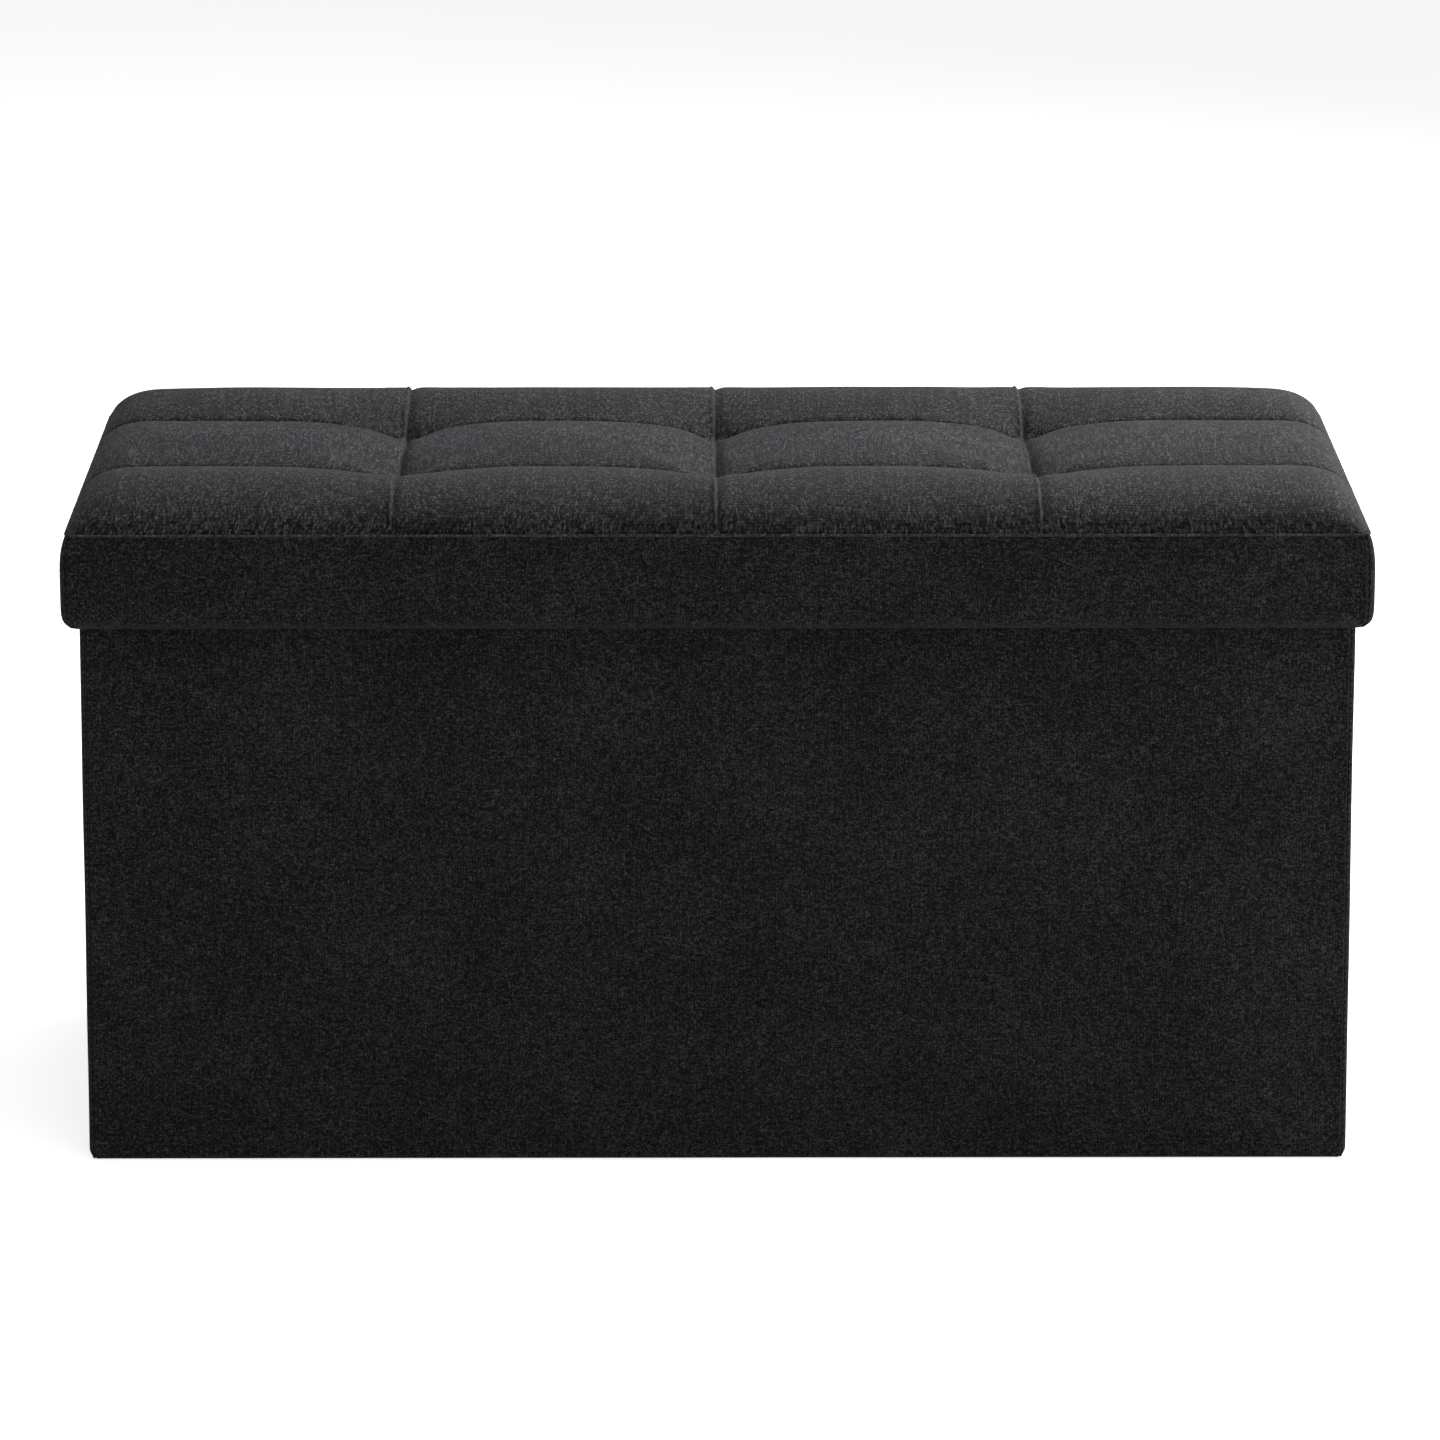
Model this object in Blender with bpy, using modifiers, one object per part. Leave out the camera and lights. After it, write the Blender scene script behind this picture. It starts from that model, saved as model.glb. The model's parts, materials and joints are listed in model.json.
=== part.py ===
"""Folding storage bench: a fabric-covered box with a quilted lift-off lid.

Metres, +Z up. The origin is on the floor at the centre of the box, and the
front panel faces -Y. The walls are boards in cloth covers; the base board, the
wire divider and the lid stack on each other and lift out one after another.
"""
import math

import bmesh
import bpy
from mathutils import Vector

# Driving dimensions
LID_WIDTH = 0.760
LID_DEPTH = 0.380
BODY_WIDTH = 0.740
BODY_DEPTH = 0.360
WALL_TOP = 0.345
RIM_Z = 0.320
EDGE_Z = 0.3765
CROWN = 0.0255

# Sheet and board thicknesses, and the gap kept between touching pieces
GAP = 0.0003
WELD_DISTANCE = 0.00001
CLOTH = 0.0012
LINING = 0.0006
WRAP = CLOTH + GAP
WALL_BOARD = 0.009
RIM_BOARD = 0.0036
LID_BOARD = 0.012
BASE_BOARD = 0.006
BASE_CLOTH = 0.0008

# Rounded edges of the box
CORNER_RADIUS = 0.004
FOOT_RADIUS = 0.006
SOFT_EDGE = 0.0015

# Inner room of the box: the linings' inner faces
HALF_ROOM_X = BODY_WIDTH / 2 - CLOTH - WALL_BOARD - LINING - 2 * GAP
HALF_ROOM_Y = BODY_DEPTH / 2 - CLOTH - WALL_BOARD - LINING - 2 * GAP
FOLD_GAP = 0.002
BASE_CLEARANCE = 0.0023

# Lid
LID_CLEARANCE = 0.0012
TOP_INSET = 0.0035
RIM_INSET = 0.0085
HALF_TOP_X = LID_WIDTH / 2 - TOP_INSET
HALF_TOP_Y = LID_DEPTH / 2 - TOP_INSET
FOAM_BELOW_COVER = 0.003

# Padded skirt: its face is widest at SKIRT_WIDEST_Z, and rounds in above and below.
# Its hem wraps HEM_PAD of padding under the rim boards.
SKIRT_WIDEST_Z = 0.3525
SKIRT_UPPER_POWER = 4
SKIRT_LOWER_POWER = 6
SKIRT_STEPS = 16
HEM_PAD = 0.0042

# Quilting: seams, the rise from the border, and the pulled tufts
SEAMS_X = (-0.188, 0.0, 0.188)
SEAMS_Y = (-0.068, 0.068)
CELLS_PER_PATCH = (10, 7)
RISE_LENGTH = 0.055
SEAM_DIP = 0.0045
SEAM_SPREAD = 0.014
TUFT_DIP = 0.0175
TUFT_SPREAD = 0.026

# Tufting ties
THREAD_RADIUS = 0.001
TIE_HOLE_RADIUS = 0.0015
WASHER_RADIUS = 0.0075
WASHER_THICKNESS = 0.0026
WASHER_POCKET_RADIUS = 0.0085
WASHER_POCKET_DEPTH = 0.003
PAST_FACE = 0.002

# Wire divider
FRAME_RADIUS = 0.0025
FRAME_CORNER = 0.012
WIRE_RADIUS = 0.00175
WIRE_OFFSET = 0.0009
WIRES_EACH_WAY = 5
CORNER_STEPS = 4

# Pull tab of the base board
TAB_X = 0.180
TAB_Y = -0.150
TAB_WIDTH = 0.020
TAB_LENGTH = 0.050
TAB_THICKNESS = 0.0024

BASE_Z = BASE_CLOTH + GAP
BASE_TOP = BASE_Z + BASE_BOARD + GAP + BASE_CLOTH
LID_LINING_Z = WALL_TOP + GAP
LID_BOARD_Z = LID_LINING_Z + LINING + GAP
LID_BOARD_TOP = LID_BOARD_Z + LID_BOARD
HALF_RIM_X = BODY_WIDTH / 2 + LID_CLEARANCE
HALF_RIM_Y = BODY_DEPTH / 2 + LID_CLEARANCE

SIDE_NORMALS = {
    "-X": Vector((-1, 0, 0)),
    "+X": Vector((1, 0, 0)),
    "-Y": Vector((0, -1, 0)),
    "+Y": Vector((0, 1, 0)),
    "-Z": Vector((0, 0, -1)),
    "+Z": Vector((0, 0, 1)),
}


def clear_scene():
    for obj in list(bpy.data.objects):
        bpy.data.objects.remove(obj, do_unlink=True)


def make_collection(name):
    collection = bpy.data.collections.new(name)
    bpy.context.scene.collection.children.link(collection)
    return collection


def make_material(name, color, roughness, metallic=0.0):
    material = bpy.data.materials.new(name)
    material.use_nodes = True
    shader = material.node_tree.nodes["Principled BSDF"]
    shader.inputs["Base Color"].default_value = (*color, 1.0)
    shader.inputs["Roughness"].default_value = roughness
    shader.inputs["Metallic"].default_value = metallic
    return material


def make_empty(name, location, parent=None):
    empty = bpy.data.objects.new(name, None)
    PARTS.objects.link(empty)
    empty.parent = parent
    empty.location = Vector(location) - world_place(parent)
    return empty


def world_place(obj):
    """World location of an object whose parents are only moved, not turned."""
    place = Vector((0, 0, 0))
    while obj is not None:
        place += obj.location
        obj = obj.parent
    return place


def add_part(name, bm, material, location=(0, 0, 0), parent=None):
    """Turn a bmesh into a placed object of the bench's collection."""
    mesh = bpy.data.meshes.new(name)
    bm.to_mesh(mesh)
    bm.free()
    mesh.materials.append(material)
    obj = bpy.data.objects.new(name, mesh)
    PARTS.objects.link(obj)
    obj.parent = parent
    obj.location = Vector(location) - world_place(parent)
    return obj


def make_cutter(obj):
    """Move an object to the cutters, which are hidden."""
    PARTS.objects.unlink(obj)
    CUTTERS.objects.link(obj)
    obj.hide_render = True
    obj.display_type = "WIRE"
    return obj


def add_boolean(obj, other, operation):
    modifier = obj.modifiers.new(operation.lower(), "BOOLEAN")
    modifier.operation = operation
    modifier.solver = "EXACT"
    modifier.object = other


def side_of(face):
    return max(SIDE_NORMALS, key=lambda side: face.normal.dot(SIDE_NORMALS[side]))


def box(name, low, high, material, parent=None, rounds=None, open_side=None, skin=CLOTH):
    """Box between two corners; rounds maps a pair of sides to their edge's radius.

    With an open side it is a pan: that side is left out, and the others become
    a skin thickened inwards.
    """
    low = Vector(low)
    high = Vector(high)
    bm = bmesh.new()
    bmesh.ops.create_cube(bm, size=1.0)
    bmesh.ops.scale(bm, vec=high - low, verts=bm.verts)
    bm.normal_update()
    rounds = rounds or {}
    largest = max(rounds.values(), default=0.0)
    weights = bm.edges.layers.float.new("bevel_weight_edge")
    for edge in bm.edges:
        sides = {side_of(face) for face in edge.link_faces}
        for pair, radius in rounds.items():
            if sides == set(pair):
                edge[weights] = radius / largest
    if open_side:
        left_out = [face for face in bm.faces if side_of(face) == open_side]
        bmesh.ops.delete(bm, geom=left_out, context="FACES_ONLY")
    obj = add_part(name, bm, material, (low + high) / 2, parent)
    if largest:
        bevel = obj.modifiers.new("rounded edges", "BEVEL")
        bevel.limit_method = "WEIGHT"
        bevel.width = largest
        bevel.segments = 4
    if open_side:
        solidify = obj.modifiers.new("cloth thickness", "SOLIDIFY")
        solidify.thickness = skin
        solidify.offset = -1.0
        solidify.use_even_offset = True
    return obj


def build_front_or_back(name, facing):
    """Front (facing -1) or back (facing +1) wall: cover, board and lining."""
    outer_side = "-Y" if facing < 0 else "+Y"
    inner_side = "+Y" if facing < 0 else "-Y"
    outer = BODY_DEPTH / 2
    board_outer = outer - CLOTH - GAP
    board_inner = board_outer - WALL_BOARD
    lining_outer = board_inner - GAP

    def span(half_x, bottom, top, from_y, to_y):
        ys = sorted((facing * from_y, facing * to_y))
        return (-half_x, ys[0], bottom), (half_x, ys[1], top)

    box(
        f"{name}_cover",
        *span(BODY_WIDTH / 2, 0.0, WALL_TOP, outer, board_inner),
        COVER_CLOTH,
        open_side=inner_side,
        rounds={
            ("-X", outer_side): CORNER_RADIUS,
            ("+X", outer_side): CORNER_RADIUS,
            ("-X", "-Z"): FOOT_RADIUS,
            ("+X", "-Z"): FOOT_RADIUS,
            (outer_side, "-Z"): SOFT_EDGE,
            (outer_side, "+Z"): SOFT_EDGE,
        },
    )
    box(
        f"{name}_board",
        *span(BODY_WIDTH / 2 - WRAP, WRAP, WALL_TOP - WRAP, board_outer, board_inner),
        FIBREBOARD,
        rounds={
            ("-X", outer_side): CORNER_RADIUS,
            ("+X", outer_side): CORNER_RADIUS,
            ("-X", "-Z"): FOOT_RADIUS,
            ("+X", "-Z"): FOOT_RADIUS,
            (outer_side, "-Z"): SOFT_EDGE,
            (outer_side, "+Z"): SOFT_EDGE,
        },
    )
    inset = FOOT_RADIUS
    box(
        f"{name}_lining",
        *span(BODY_WIDTH / 2 - inset, inset, WALL_TOP - WRAP, lining_outer, HALF_ROOM_Y),
        LINING_CLOTH,
    )


def build_side(name, facing):
    """Left (facing -1) or right (facing +1) wall, whose board is split where it folds."""
    outer_side = "-X" if facing < 0 else "+X"
    inner_side = "+X" if facing < 0 else "-X"
    outer = BODY_WIDTH / 2
    board_outer = outer - CLOTH - GAP
    board_inner = board_outer - WALL_BOARD
    half_depth = HALF_ROOM_Y - GAP

    def span(from_x, to_x, from_y, to_y, bottom, top):
        xs = sorted((facing * from_x, facing * to_x))
        return (xs[0], from_y, bottom), (xs[1], to_y, top)

    box(
        f"{name}_cover",
        *span(outer, board_inner, -half_depth, half_depth, 0.0, WALL_TOP),
        COVER_CLOTH,
        open_side=inner_side,
        rounds={(outer_side, "-Z"): FOOT_RADIUS, (outer_side, "+Z"): SOFT_EDGE},
    )
    halves = {
        "front": (WRAP - half_depth, -FOLD_GAP / 2),
        "rear": (FOLD_GAP / 2, half_depth - WRAP),
    }
    for half, (from_y, to_y) in halves.items():
        box(
            f"{name}_{half}_board",
            *span(board_outer, board_inner, from_y, to_y, WRAP, WALL_TOP - WRAP),
            FIBREBOARD,
            rounds={(outer_side, "-Z"): FOOT_RADIUS, (outer_side, "+Z"): SOFT_EDGE},
        )
    half_lining = half_depth - GAP
    box(
        f"{name}_lining",
        *span(board_inner - GAP, HALF_ROOM_X, -half_lining, half_lining, WRAP, WALL_TOP - WRAP),
        LINING_CLOTH,
    )


def build_box():
    build_front_or_back("front", -1)
    build_front_or_back("back", 1)
    build_side("left", -1)
    build_side("right", 1)
    half_x = HALF_ROOM_X - GAP
    half_y = HALF_ROOM_Y - GAP
    box("bottom_cloth", (-half_x, -half_y, 0.0), (half_x, half_y, BASE_CLOTH), LINING_CLOTH)


def build_base(base):
    """Loose base board in its cloth wrap, with a pull tab that folds flat on it."""
    half_x = HALF_ROOM_X - BASE_CLEARANCE
    half_y = HALF_ROOM_Y - BASE_CLEARANCE
    box(
        "base_wrap",
        (-half_x, -half_y, BASE_Z),
        (half_x, half_y, BASE_TOP),
        LINING_CLOTH,
        base,
        open_side="-Z",
        skin=BASE_CLOTH,
    )
    inset = BASE_CLOTH + GAP
    box(
        "base_board",
        (inset - half_x, inset - half_y, BASE_Z),
        (half_x - inset, half_y - inset, BASE_Z + BASE_BOARD),
        FIBREBOARD,
        base,
    )
    tab_z = BASE_TOP + GAP
    hinge = make_empty("tab_hinge", (TAB_X, TAB_Y, tab_z + TAB_THICKNESS / 2), base)
    round_end = TAB_THICKNESS / 2 - WELD_DISTANCE
    box(
        "pull_tab",
        (TAB_X - TAB_WIDTH / 2, TAB_Y - TAB_THICKNESS / 2, tab_z),
        (TAB_X + TAB_WIDTH / 2, TAB_Y + TAB_LENGTH, tab_z + TAB_THICKNESS),
        WEBBING,
        hinge,
        rounds={("-Y", "-Z"): round_end, ("-Y", "+Z"): round_end},
    )


def frame_points(half_y, low_z, high_z):
    """Points of the divider's outer frame, a rectangle with round corners."""
    points = []
    centres = (
        (half_y - FRAME_CORNER, high_z - FRAME_CORNER, 0),
        (FRAME_CORNER - half_y, high_z - FRAME_CORNER, 90),
        (FRAME_CORNER - half_y, low_z + FRAME_CORNER, 180),
        (half_y - FRAME_CORNER, low_z + FRAME_CORNER, 270),
    )
    for centre_y, centre_z, start in centres:
        for step in range(CORNER_STEPS + 1):
            angle = math.radians(start + 90 * step / CORNER_STEPS)
            y = centre_y + FRAME_CORNER * math.cos(angle)
            z = centre_z + FRAME_CORNER * math.sin(angle)
            points.append((0.0, y, z))
    return points


def wire_mesh(name, points, radius, cyclic=False):
    """Round wire along straight runs between points, as a closed bmesh."""
    curve = bpy.data.curves.new(name, "CURVE")
    curve.dimensions = "3D"
    curve.bevel_depth = radius
    curve.bevel_resolution = 2
    curve.use_fill_caps = True
    spline = curve.splines.new("POLY")
    spline.points.add(len(points) - 1)
    for spline_point, point in zip(spline.points, points):
        spline_point.co = (*point, 1.0)
    spline.use_cyclic_u = cyclic
    guide = bpy.data.objects.new(name, curve)
    CUTTERS.objects.link(guide)
    bpy.context.view_layer.update()
    depsgraph = bpy.context.evaluated_depsgraph_get()
    mesh = bpy.data.meshes.new_from_object(guide.evaluated_get(depsgraph))
    bm = bmesh.new()
    bm.from_mesh(mesh)
    bmesh.ops.remove_doubles(bm, verts=bm.verts, dist=WELD_DISTANCE)
    bpy.data.objects.remove(guide, do_unlink=True)
    bpy.data.meshes.remove(mesh)
    return bm


def build_divider(divider):
    """Welded wire grid that stands across the box and carries the middle of the lid."""
    half_y = HALF_ROOM_Y - BASE_CLEARANCE - FRAME_RADIUS
    low_z = BASE_TOP + GAP + FRAME_RADIUS
    high_z = WALL_TOP - FRAME_RADIUS
    frame = wire_mesh("divider_grid", frame_points(half_y, low_z, high_z), FRAME_RADIUS, cyclic=True)
    grid = add_part("divider_grid", frame, WIRE_STEEL, parent=divider)
    grid.location = -world_place(divider)
    for index in range(1, WIRES_EACH_WAY + 1):
        share = index / (WIRES_EACH_WAY + 1)
        y = half_y * (2 * share - 1)
        z = low_z + (high_z - low_z) * share
        upright = [(-WIRE_OFFSET, y, low_z), (-WIRE_OFFSET, y, high_z)]
        crossbar = [(WIRE_OFFSET, -half_y, z), (WIRE_OFFSET, half_y, z)]
        for kind, run in (("upright", upright), ("crossbar", crossbar)):
            rod = add_part(f"{kind}_{index}", wire_mesh(kind, run, WIRE_RADIUS), WIRE_STEEL)
            add_boolean(grid, make_cutter(rod), "UNION")


def bump(distance, spread):
    return math.exp(-((distance / spread) ** 2))


def rise(distance):
    """Rounded rise from the border, 0 at the edge seam and 1 inside RISE_LENGTH."""
    return 1 - (1 - min(distance / RISE_LENGTH, 1.0)) ** 2


def quilt_height(x, y):
    """Height of the quilted top: a crowned pad, sewn seams and pulled tufts."""
    inside_x = max(HALF_TOP_X - abs(x), 0.0)
    inside_y = max(HALF_TOP_Y - abs(y), 0.0)
    envelope = rise(inside_x) * rise(inside_y)
    seam_x = max(bump(x - seam, SEAM_SPREAD) for seam in SEAMS_X)
    seam_y = max(bump(y - seam, SEAM_SPREAD) for seam in SEAMS_Y)
    dip = SEAM_DIP * max(seam_x, seam_y)
    for tuft_x in SEAMS_X:
        for tuft_y in SEAMS_Y:
            dip += TUFT_DIP * bump(math.hypot(x - tuft_x, y - tuft_y), TUFT_SPREAD)
    return EDGE_Z + (CROWN - dip) * envelope


def spread(fraction, stops):
    """Place of a fraction (0 to 1) along stops that each take an equal share."""
    scaled = fraction * (len(stops) - 1)
    index = min(int(scaled + 1e-6), len(stops) - 2)
    return stops[index] + (stops[index + 1] - stops[index]) * (scaled - index)


def quilt_grid(half_x, half_y, lower_by):
    """Open grid that follows the quilting, lowered, and reaching half_x and half_y."""
    stops_x = (-half_x, *SEAMS_X, half_x)
    stops_y = (-half_y, *SEAMS_Y, half_y)
    bm = bmesh.new()
    bmesh.ops.create_grid(
        bm,
        x_segments=CELLS_PER_PATCH[0] * (len(stops_x) - 1),
        y_segments=CELLS_PER_PATCH[1] * (len(stops_y) - 1),
        size=0.5,
    )
    for vert in bm.verts:
        vert.co.x = spread(vert.co.x + 0.5, stops_x)
        vert.co.y = spread(vert.co.y + 0.5, stops_y)
        vert.co.z = quilt_height(vert.co.x, vert.co.y) - lower_by
    return bm


def build_top_cover(lid):
    cover = add_part("top_cover", quilt_grid(HALF_TOP_X, HALF_TOP_Y, 0.0), COVER_CLOTH, parent=lid)
    solidify = cover.modifiers.new("cloth thickness", "SOLIDIFY")
    solidify.thickness = CLOTH
    solidify.offset = -1.0


def build_foam(lid):
    """Foam pad under the cover, with a hole for each tufting tie."""
    half_x = LID_WIDTH / 2 - RIM_INSET + RIM_BOARD
    half_y = LID_DEPTH / 2 - RIM_INSET + RIM_BOARD
    bm = quilt_grid(half_x - GAP, half_y - GAP, FOAM_BELOW_COVER)
    bmesh.ops.triangulate(bm, faces=bm.faces)
    border = [edge for edge in bm.edges if edge.is_boundary]
    skirt = bmesh.ops.extrude_edge_only(bm, edges=border)["geom"]
    for vert in skirt:
        if isinstance(vert, bmesh.types.BMVert):
            vert.co.z = LID_BOARD_TOP + GAP
    bottom = [edge for edge in skirt if isinstance(edge, bmesh.types.BMEdge) and edge.is_boundary]
    bmesh.ops.edgeloop_fill(bm, edges=bottom)
    bmesh.ops.recalc_face_normals(bm, faces=bm.faces)
    foam = add_part("foam_pad", bm, FOAM, parent=lid)
    for x, y in tuft_places():
        hole = cylinder_cutter("foam_hole", x, y, LID_BOARD_Z, EDGE_Z + CROWN, TIE_HOLE_RADIUS)
        add_boolean(foam, hole, "DIFFERENCE")


def tuft_places():
    return [(x, y) for y in SEAMS_Y for x in SEAMS_X]


def cylinder_cutter(name, x, y, low_z, high_z, radius):
    bm = bmesh.new()
    bmesh.ops.create_cone(
        bm,
        cap_ends=True,
        segments=16,
        radius1=radius,
        radius2=radius,
        depth=high_z - low_z,
    )
    return make_cutter(add_part(name, bm, FOAM, (x, y, (low_z + high_z) / 2)))


def build_lid_board(lid):
    """Board that carries the foam, drilled for the ties and pocketed for their washers."""
    half_x = HALF_RIM_X - GAP
    half_y = HALF_RIM_Y - GAP
    board = box(
        "lid_board",
        (-half_x, -half_y, LID_BOARD_Z),
        (half_x, half_y, LID_BOARD_TOP),
        FIBREBOARD,
        lid,
    )
    for x, y in tuft_places():
        low_z = LID_BOARD_Z - PAST_FACE
        hole = cylinder_cutter("board_hole", x, y, low_z, LID_BOARD_TOP + PAST_FACE, TIE_HOLE_RADIUS)
        add_boolean(board, hole, "DIFFERENCE")
        pocket_top = LID_BOARD_Z + WASHER_POCKET_DEPTH
        pocket = cylinder_cutter("washer_pocket", x, y, low_z, pocket_top, WASHER_POCKET_RADIUS)
        add_boolean(board, pocket, "DIFFERENCE")


def build_ties(lid):
    """Each tie is a waxed thread that pulls the cover down to a washer under the board."""
    washer_top = LID_BOARD_Z + WASHER_THICKNESS
    for index, (x, y) in enumerate(tuft_places(), start=1):
        thread_top = quilt_height(x, y) - CLOTH - 2 * GAP
        profile = (
            (0.0, thread_top),
            (THREAD_RADIUS, thread_top),
            (THREAD_RADIUS, washer_top),
            (WASHER_RADIUS, washer_top),
            (WASHER_RADIUS, LID_BOARD_Z),
            (0.0, LID_BOARD_Z),
        )
        bm = bmesh.new()
        verts = [bm.verts.new((radius, 0.0, z)) for radius, z in profile]
        for upper, lower in zip(verts, verts[1:]):
            bm.edges.new((upper, lower))
        tie = add_part(f"tuft_tie_{index}", bm, TWINE, (x, y, 0.0), lid)
        screw = tie.modifiers.new("turned", "SCREW")
        screw.steps = 12
        screw.render_steps = 12
        screw.use_merge_vertices = True
        screw.merge_threshold = 0.0001


def build_rim_boards(lid):
    """Four thin boards that stand down round the top of the box and locate the lid."""
    reach_x = HALF_RIM_X + RIM_BOARD
    reach_y = HALF_RIM_Y + RIM_BOARD
    low_z = RIM_Z + HEM_PAD + GAP
    half_y = HALF_RIM_Y - GAP
    boards = {
        "front": ((-reach_x, -reach_y), (reach_x, -HALF_RIM_Y)),
        "back": ((-reach_x, HALF_RIM_Y), (reach_x, reach_y)),
        "left": ((-reach_x, -half_y), (-HALF_RIM_X, half_y)),
        "right": ((HALF_RIM_X, -half_y), (reach_x, half_y)),
    }
    for side, (low, high) in boards.items():
        box(f"{side}_rim_board", (*low, low_z), (*high, LID_BOARD_TOP), FIBREBOARD, lid)


def skirt_inset(z):
    """How far the padded skirt's outer face stands back from its widest line."""
    if z > SKIRT_WIDEST_Z:
        share = (z - SKIRT_WIDEST_Z) / (EDGE_Z - SKIRT_WIDEST_Z)
        return TOP_INSET * share**SKIRT_UPPER_POWER
    share = (SKIRT_WIDEST_Z - z) / (SKIRT_WIDEST_Z - RIM_Z)
    return RIM_INSET * share**SKIRT_LOWER_POWER


def skirt_outline():
    """Section of the skirt as (inset, height): bulged face, underside, return and back."""
    top = EDGE_Z - CLOTH - GAP
    middle, half = (top + RIM_Z) / 2, (top - RIM_Z) / 2
    turns = [math.pi * step / SKIRT_STEPS for step in range(SKIRT_STEPS + 1)]
    heights = [middle + half * math.cos(turn) for turn in turns]
    face = [(skirt_inset(z), z) for z in heights]
    back = RIM_INSET - RIM_BOARD
    under = RIM_Z + HEM_PAD
    return face + [(RIM_INSET, under), (back, under), (back, top)]


def build_skirts(lid):
    """Padded cloth skirt in four strips with mitred ends."""
    strips = {
        "front": (LID_WIDTH / 2, LID_DEPTH / 2, 0),
        "right": (LID_DEPTH / 2, LID_WIDTH / 2, 90),
        "back": (LID_WIDTH / 2, LID_DEPTH / 2, 180),
        "left": (LID_DEPTH / 2, LID_WIDTH / 2, -90),
    }
    for side, (half_span, reach, turn) in strips.items():
        bm = bmesh.new()
        section = [
            bm.verts.new((-(half_span - inset - GAP), -(reach - inset), z))
            for inset, z in skirt_outline()
        ]
        end_face = bm.faces.new(section)
        far_end = bmesh.ops.extrude_face_region(bm, geom=[end_face])["geom"]
        for vert in far_end:
            if isinstance(vert, bmesh.types.BMVert):
                vert.co.x = -vert.co.x
        bmesh.ops.recalc_face_normals(bm, faces=bm.faces)
        strip = add_part(f"{side}_skirt", bm, COVER_CLOTH, parent=lid)
        strip.rotation_euler.z = math.radians(turn)


def build_lid(lid):
    half_x = HALF_RIM_X - GAP
    half_y = HALF_RIM_Y - GAP
    box(
        "lid_lining",
        (-half_x, -half_y, LID_LINING_Z),
        (half_x, half_y, LID_LINING_Z + LINING),
        LINING_CLOTH,
        lid,
    )
    build_lid_board(lid)
    build_rim_boards(lid)
    build_ties(lid)
    build_foam(lid)
    build_top_cover(lid)
    build_skirts(lid)


clear_scene()
PARTS = make_collection("storage_ottoman")
CUTTERS = make_collection("cutters")
COVER_CLOTH = make_material("black_linen_look_cloth", (0.012, 0.012, 0.014), 0.9)
LINING_CLOTH = make_material("black_nonwoven_lining", (0.016, 0.016, 0.017), 0.95)
FIBREBOARD = make_material("fibreboard", (0.36, 0.24, 0.14), 0.8)
FOAM = make_material("cream_foam", (0.78, 0.72, 0.55), 0.95)
WEBBING = make_material("black_webbing", (0.014, 0.014, 0.015), 0.85)
TWINE = make_material("waxed_twine", (0.03, 0.03, 0.03), 0.6)
WIRE_STEEL = make_material("black_coated_wire", (0.02, 0.02, 0.02), 0.4, metallic=0.3)

build_box()
base_lift = make_empty("base_lift", (0.0, 0.0, BASE_Z))
build_base(base_lift)
divider_lift = make_empty("divider_lift", (0.0, 0.0, BASE_TOP), base_lift)
build_divider(divider_lift)
lid_lift = make_empty("lid_lift", (0.0, 0.0, WALL_TOP), divider_lift)
build_lid(lid_lift)
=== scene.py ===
"""Visual model of the folding storage bench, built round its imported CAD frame."""

import json
import math

import bmesh
import bpy
import numpy as np
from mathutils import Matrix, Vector, noise


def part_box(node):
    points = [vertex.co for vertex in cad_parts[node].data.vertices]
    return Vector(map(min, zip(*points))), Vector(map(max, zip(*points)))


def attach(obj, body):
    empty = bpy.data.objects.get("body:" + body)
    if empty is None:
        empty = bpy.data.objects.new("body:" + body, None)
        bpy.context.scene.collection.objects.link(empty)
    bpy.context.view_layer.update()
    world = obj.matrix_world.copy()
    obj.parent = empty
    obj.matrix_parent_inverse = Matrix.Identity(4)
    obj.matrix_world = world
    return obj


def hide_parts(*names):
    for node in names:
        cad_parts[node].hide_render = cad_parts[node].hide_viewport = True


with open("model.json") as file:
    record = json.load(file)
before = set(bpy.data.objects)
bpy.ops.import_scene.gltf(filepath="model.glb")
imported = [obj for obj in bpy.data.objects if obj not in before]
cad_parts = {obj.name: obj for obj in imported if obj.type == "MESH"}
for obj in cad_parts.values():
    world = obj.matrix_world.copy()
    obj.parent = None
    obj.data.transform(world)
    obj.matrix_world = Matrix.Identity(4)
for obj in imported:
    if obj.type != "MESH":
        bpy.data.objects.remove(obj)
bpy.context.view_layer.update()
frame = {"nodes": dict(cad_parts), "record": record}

MM = 0.001
CLOTH_THICKNESS = 1.2 * MM
LINING_THICKNESS = 0.6 * MM
BASE_CLOTH = 0.8 * MM
GAP = 0.3 * MM


# ---- sizes from the frame
def node_box(name):
    low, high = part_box(name)
    return np.array(low), np.array(high)


front_low, front_high = node_box("front_cover")
_, cover_high = node_box("top_cover")
skirt_low, skirt_high = node_box("front_skirt")
_, side_skirt_high = node_box("right_skirt")
rim_low, rim_high = node_box("right_rim_board")
tie_boxes = [node_box(f"tuft_tie_{number}") for number in range(1, 7)]

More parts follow.
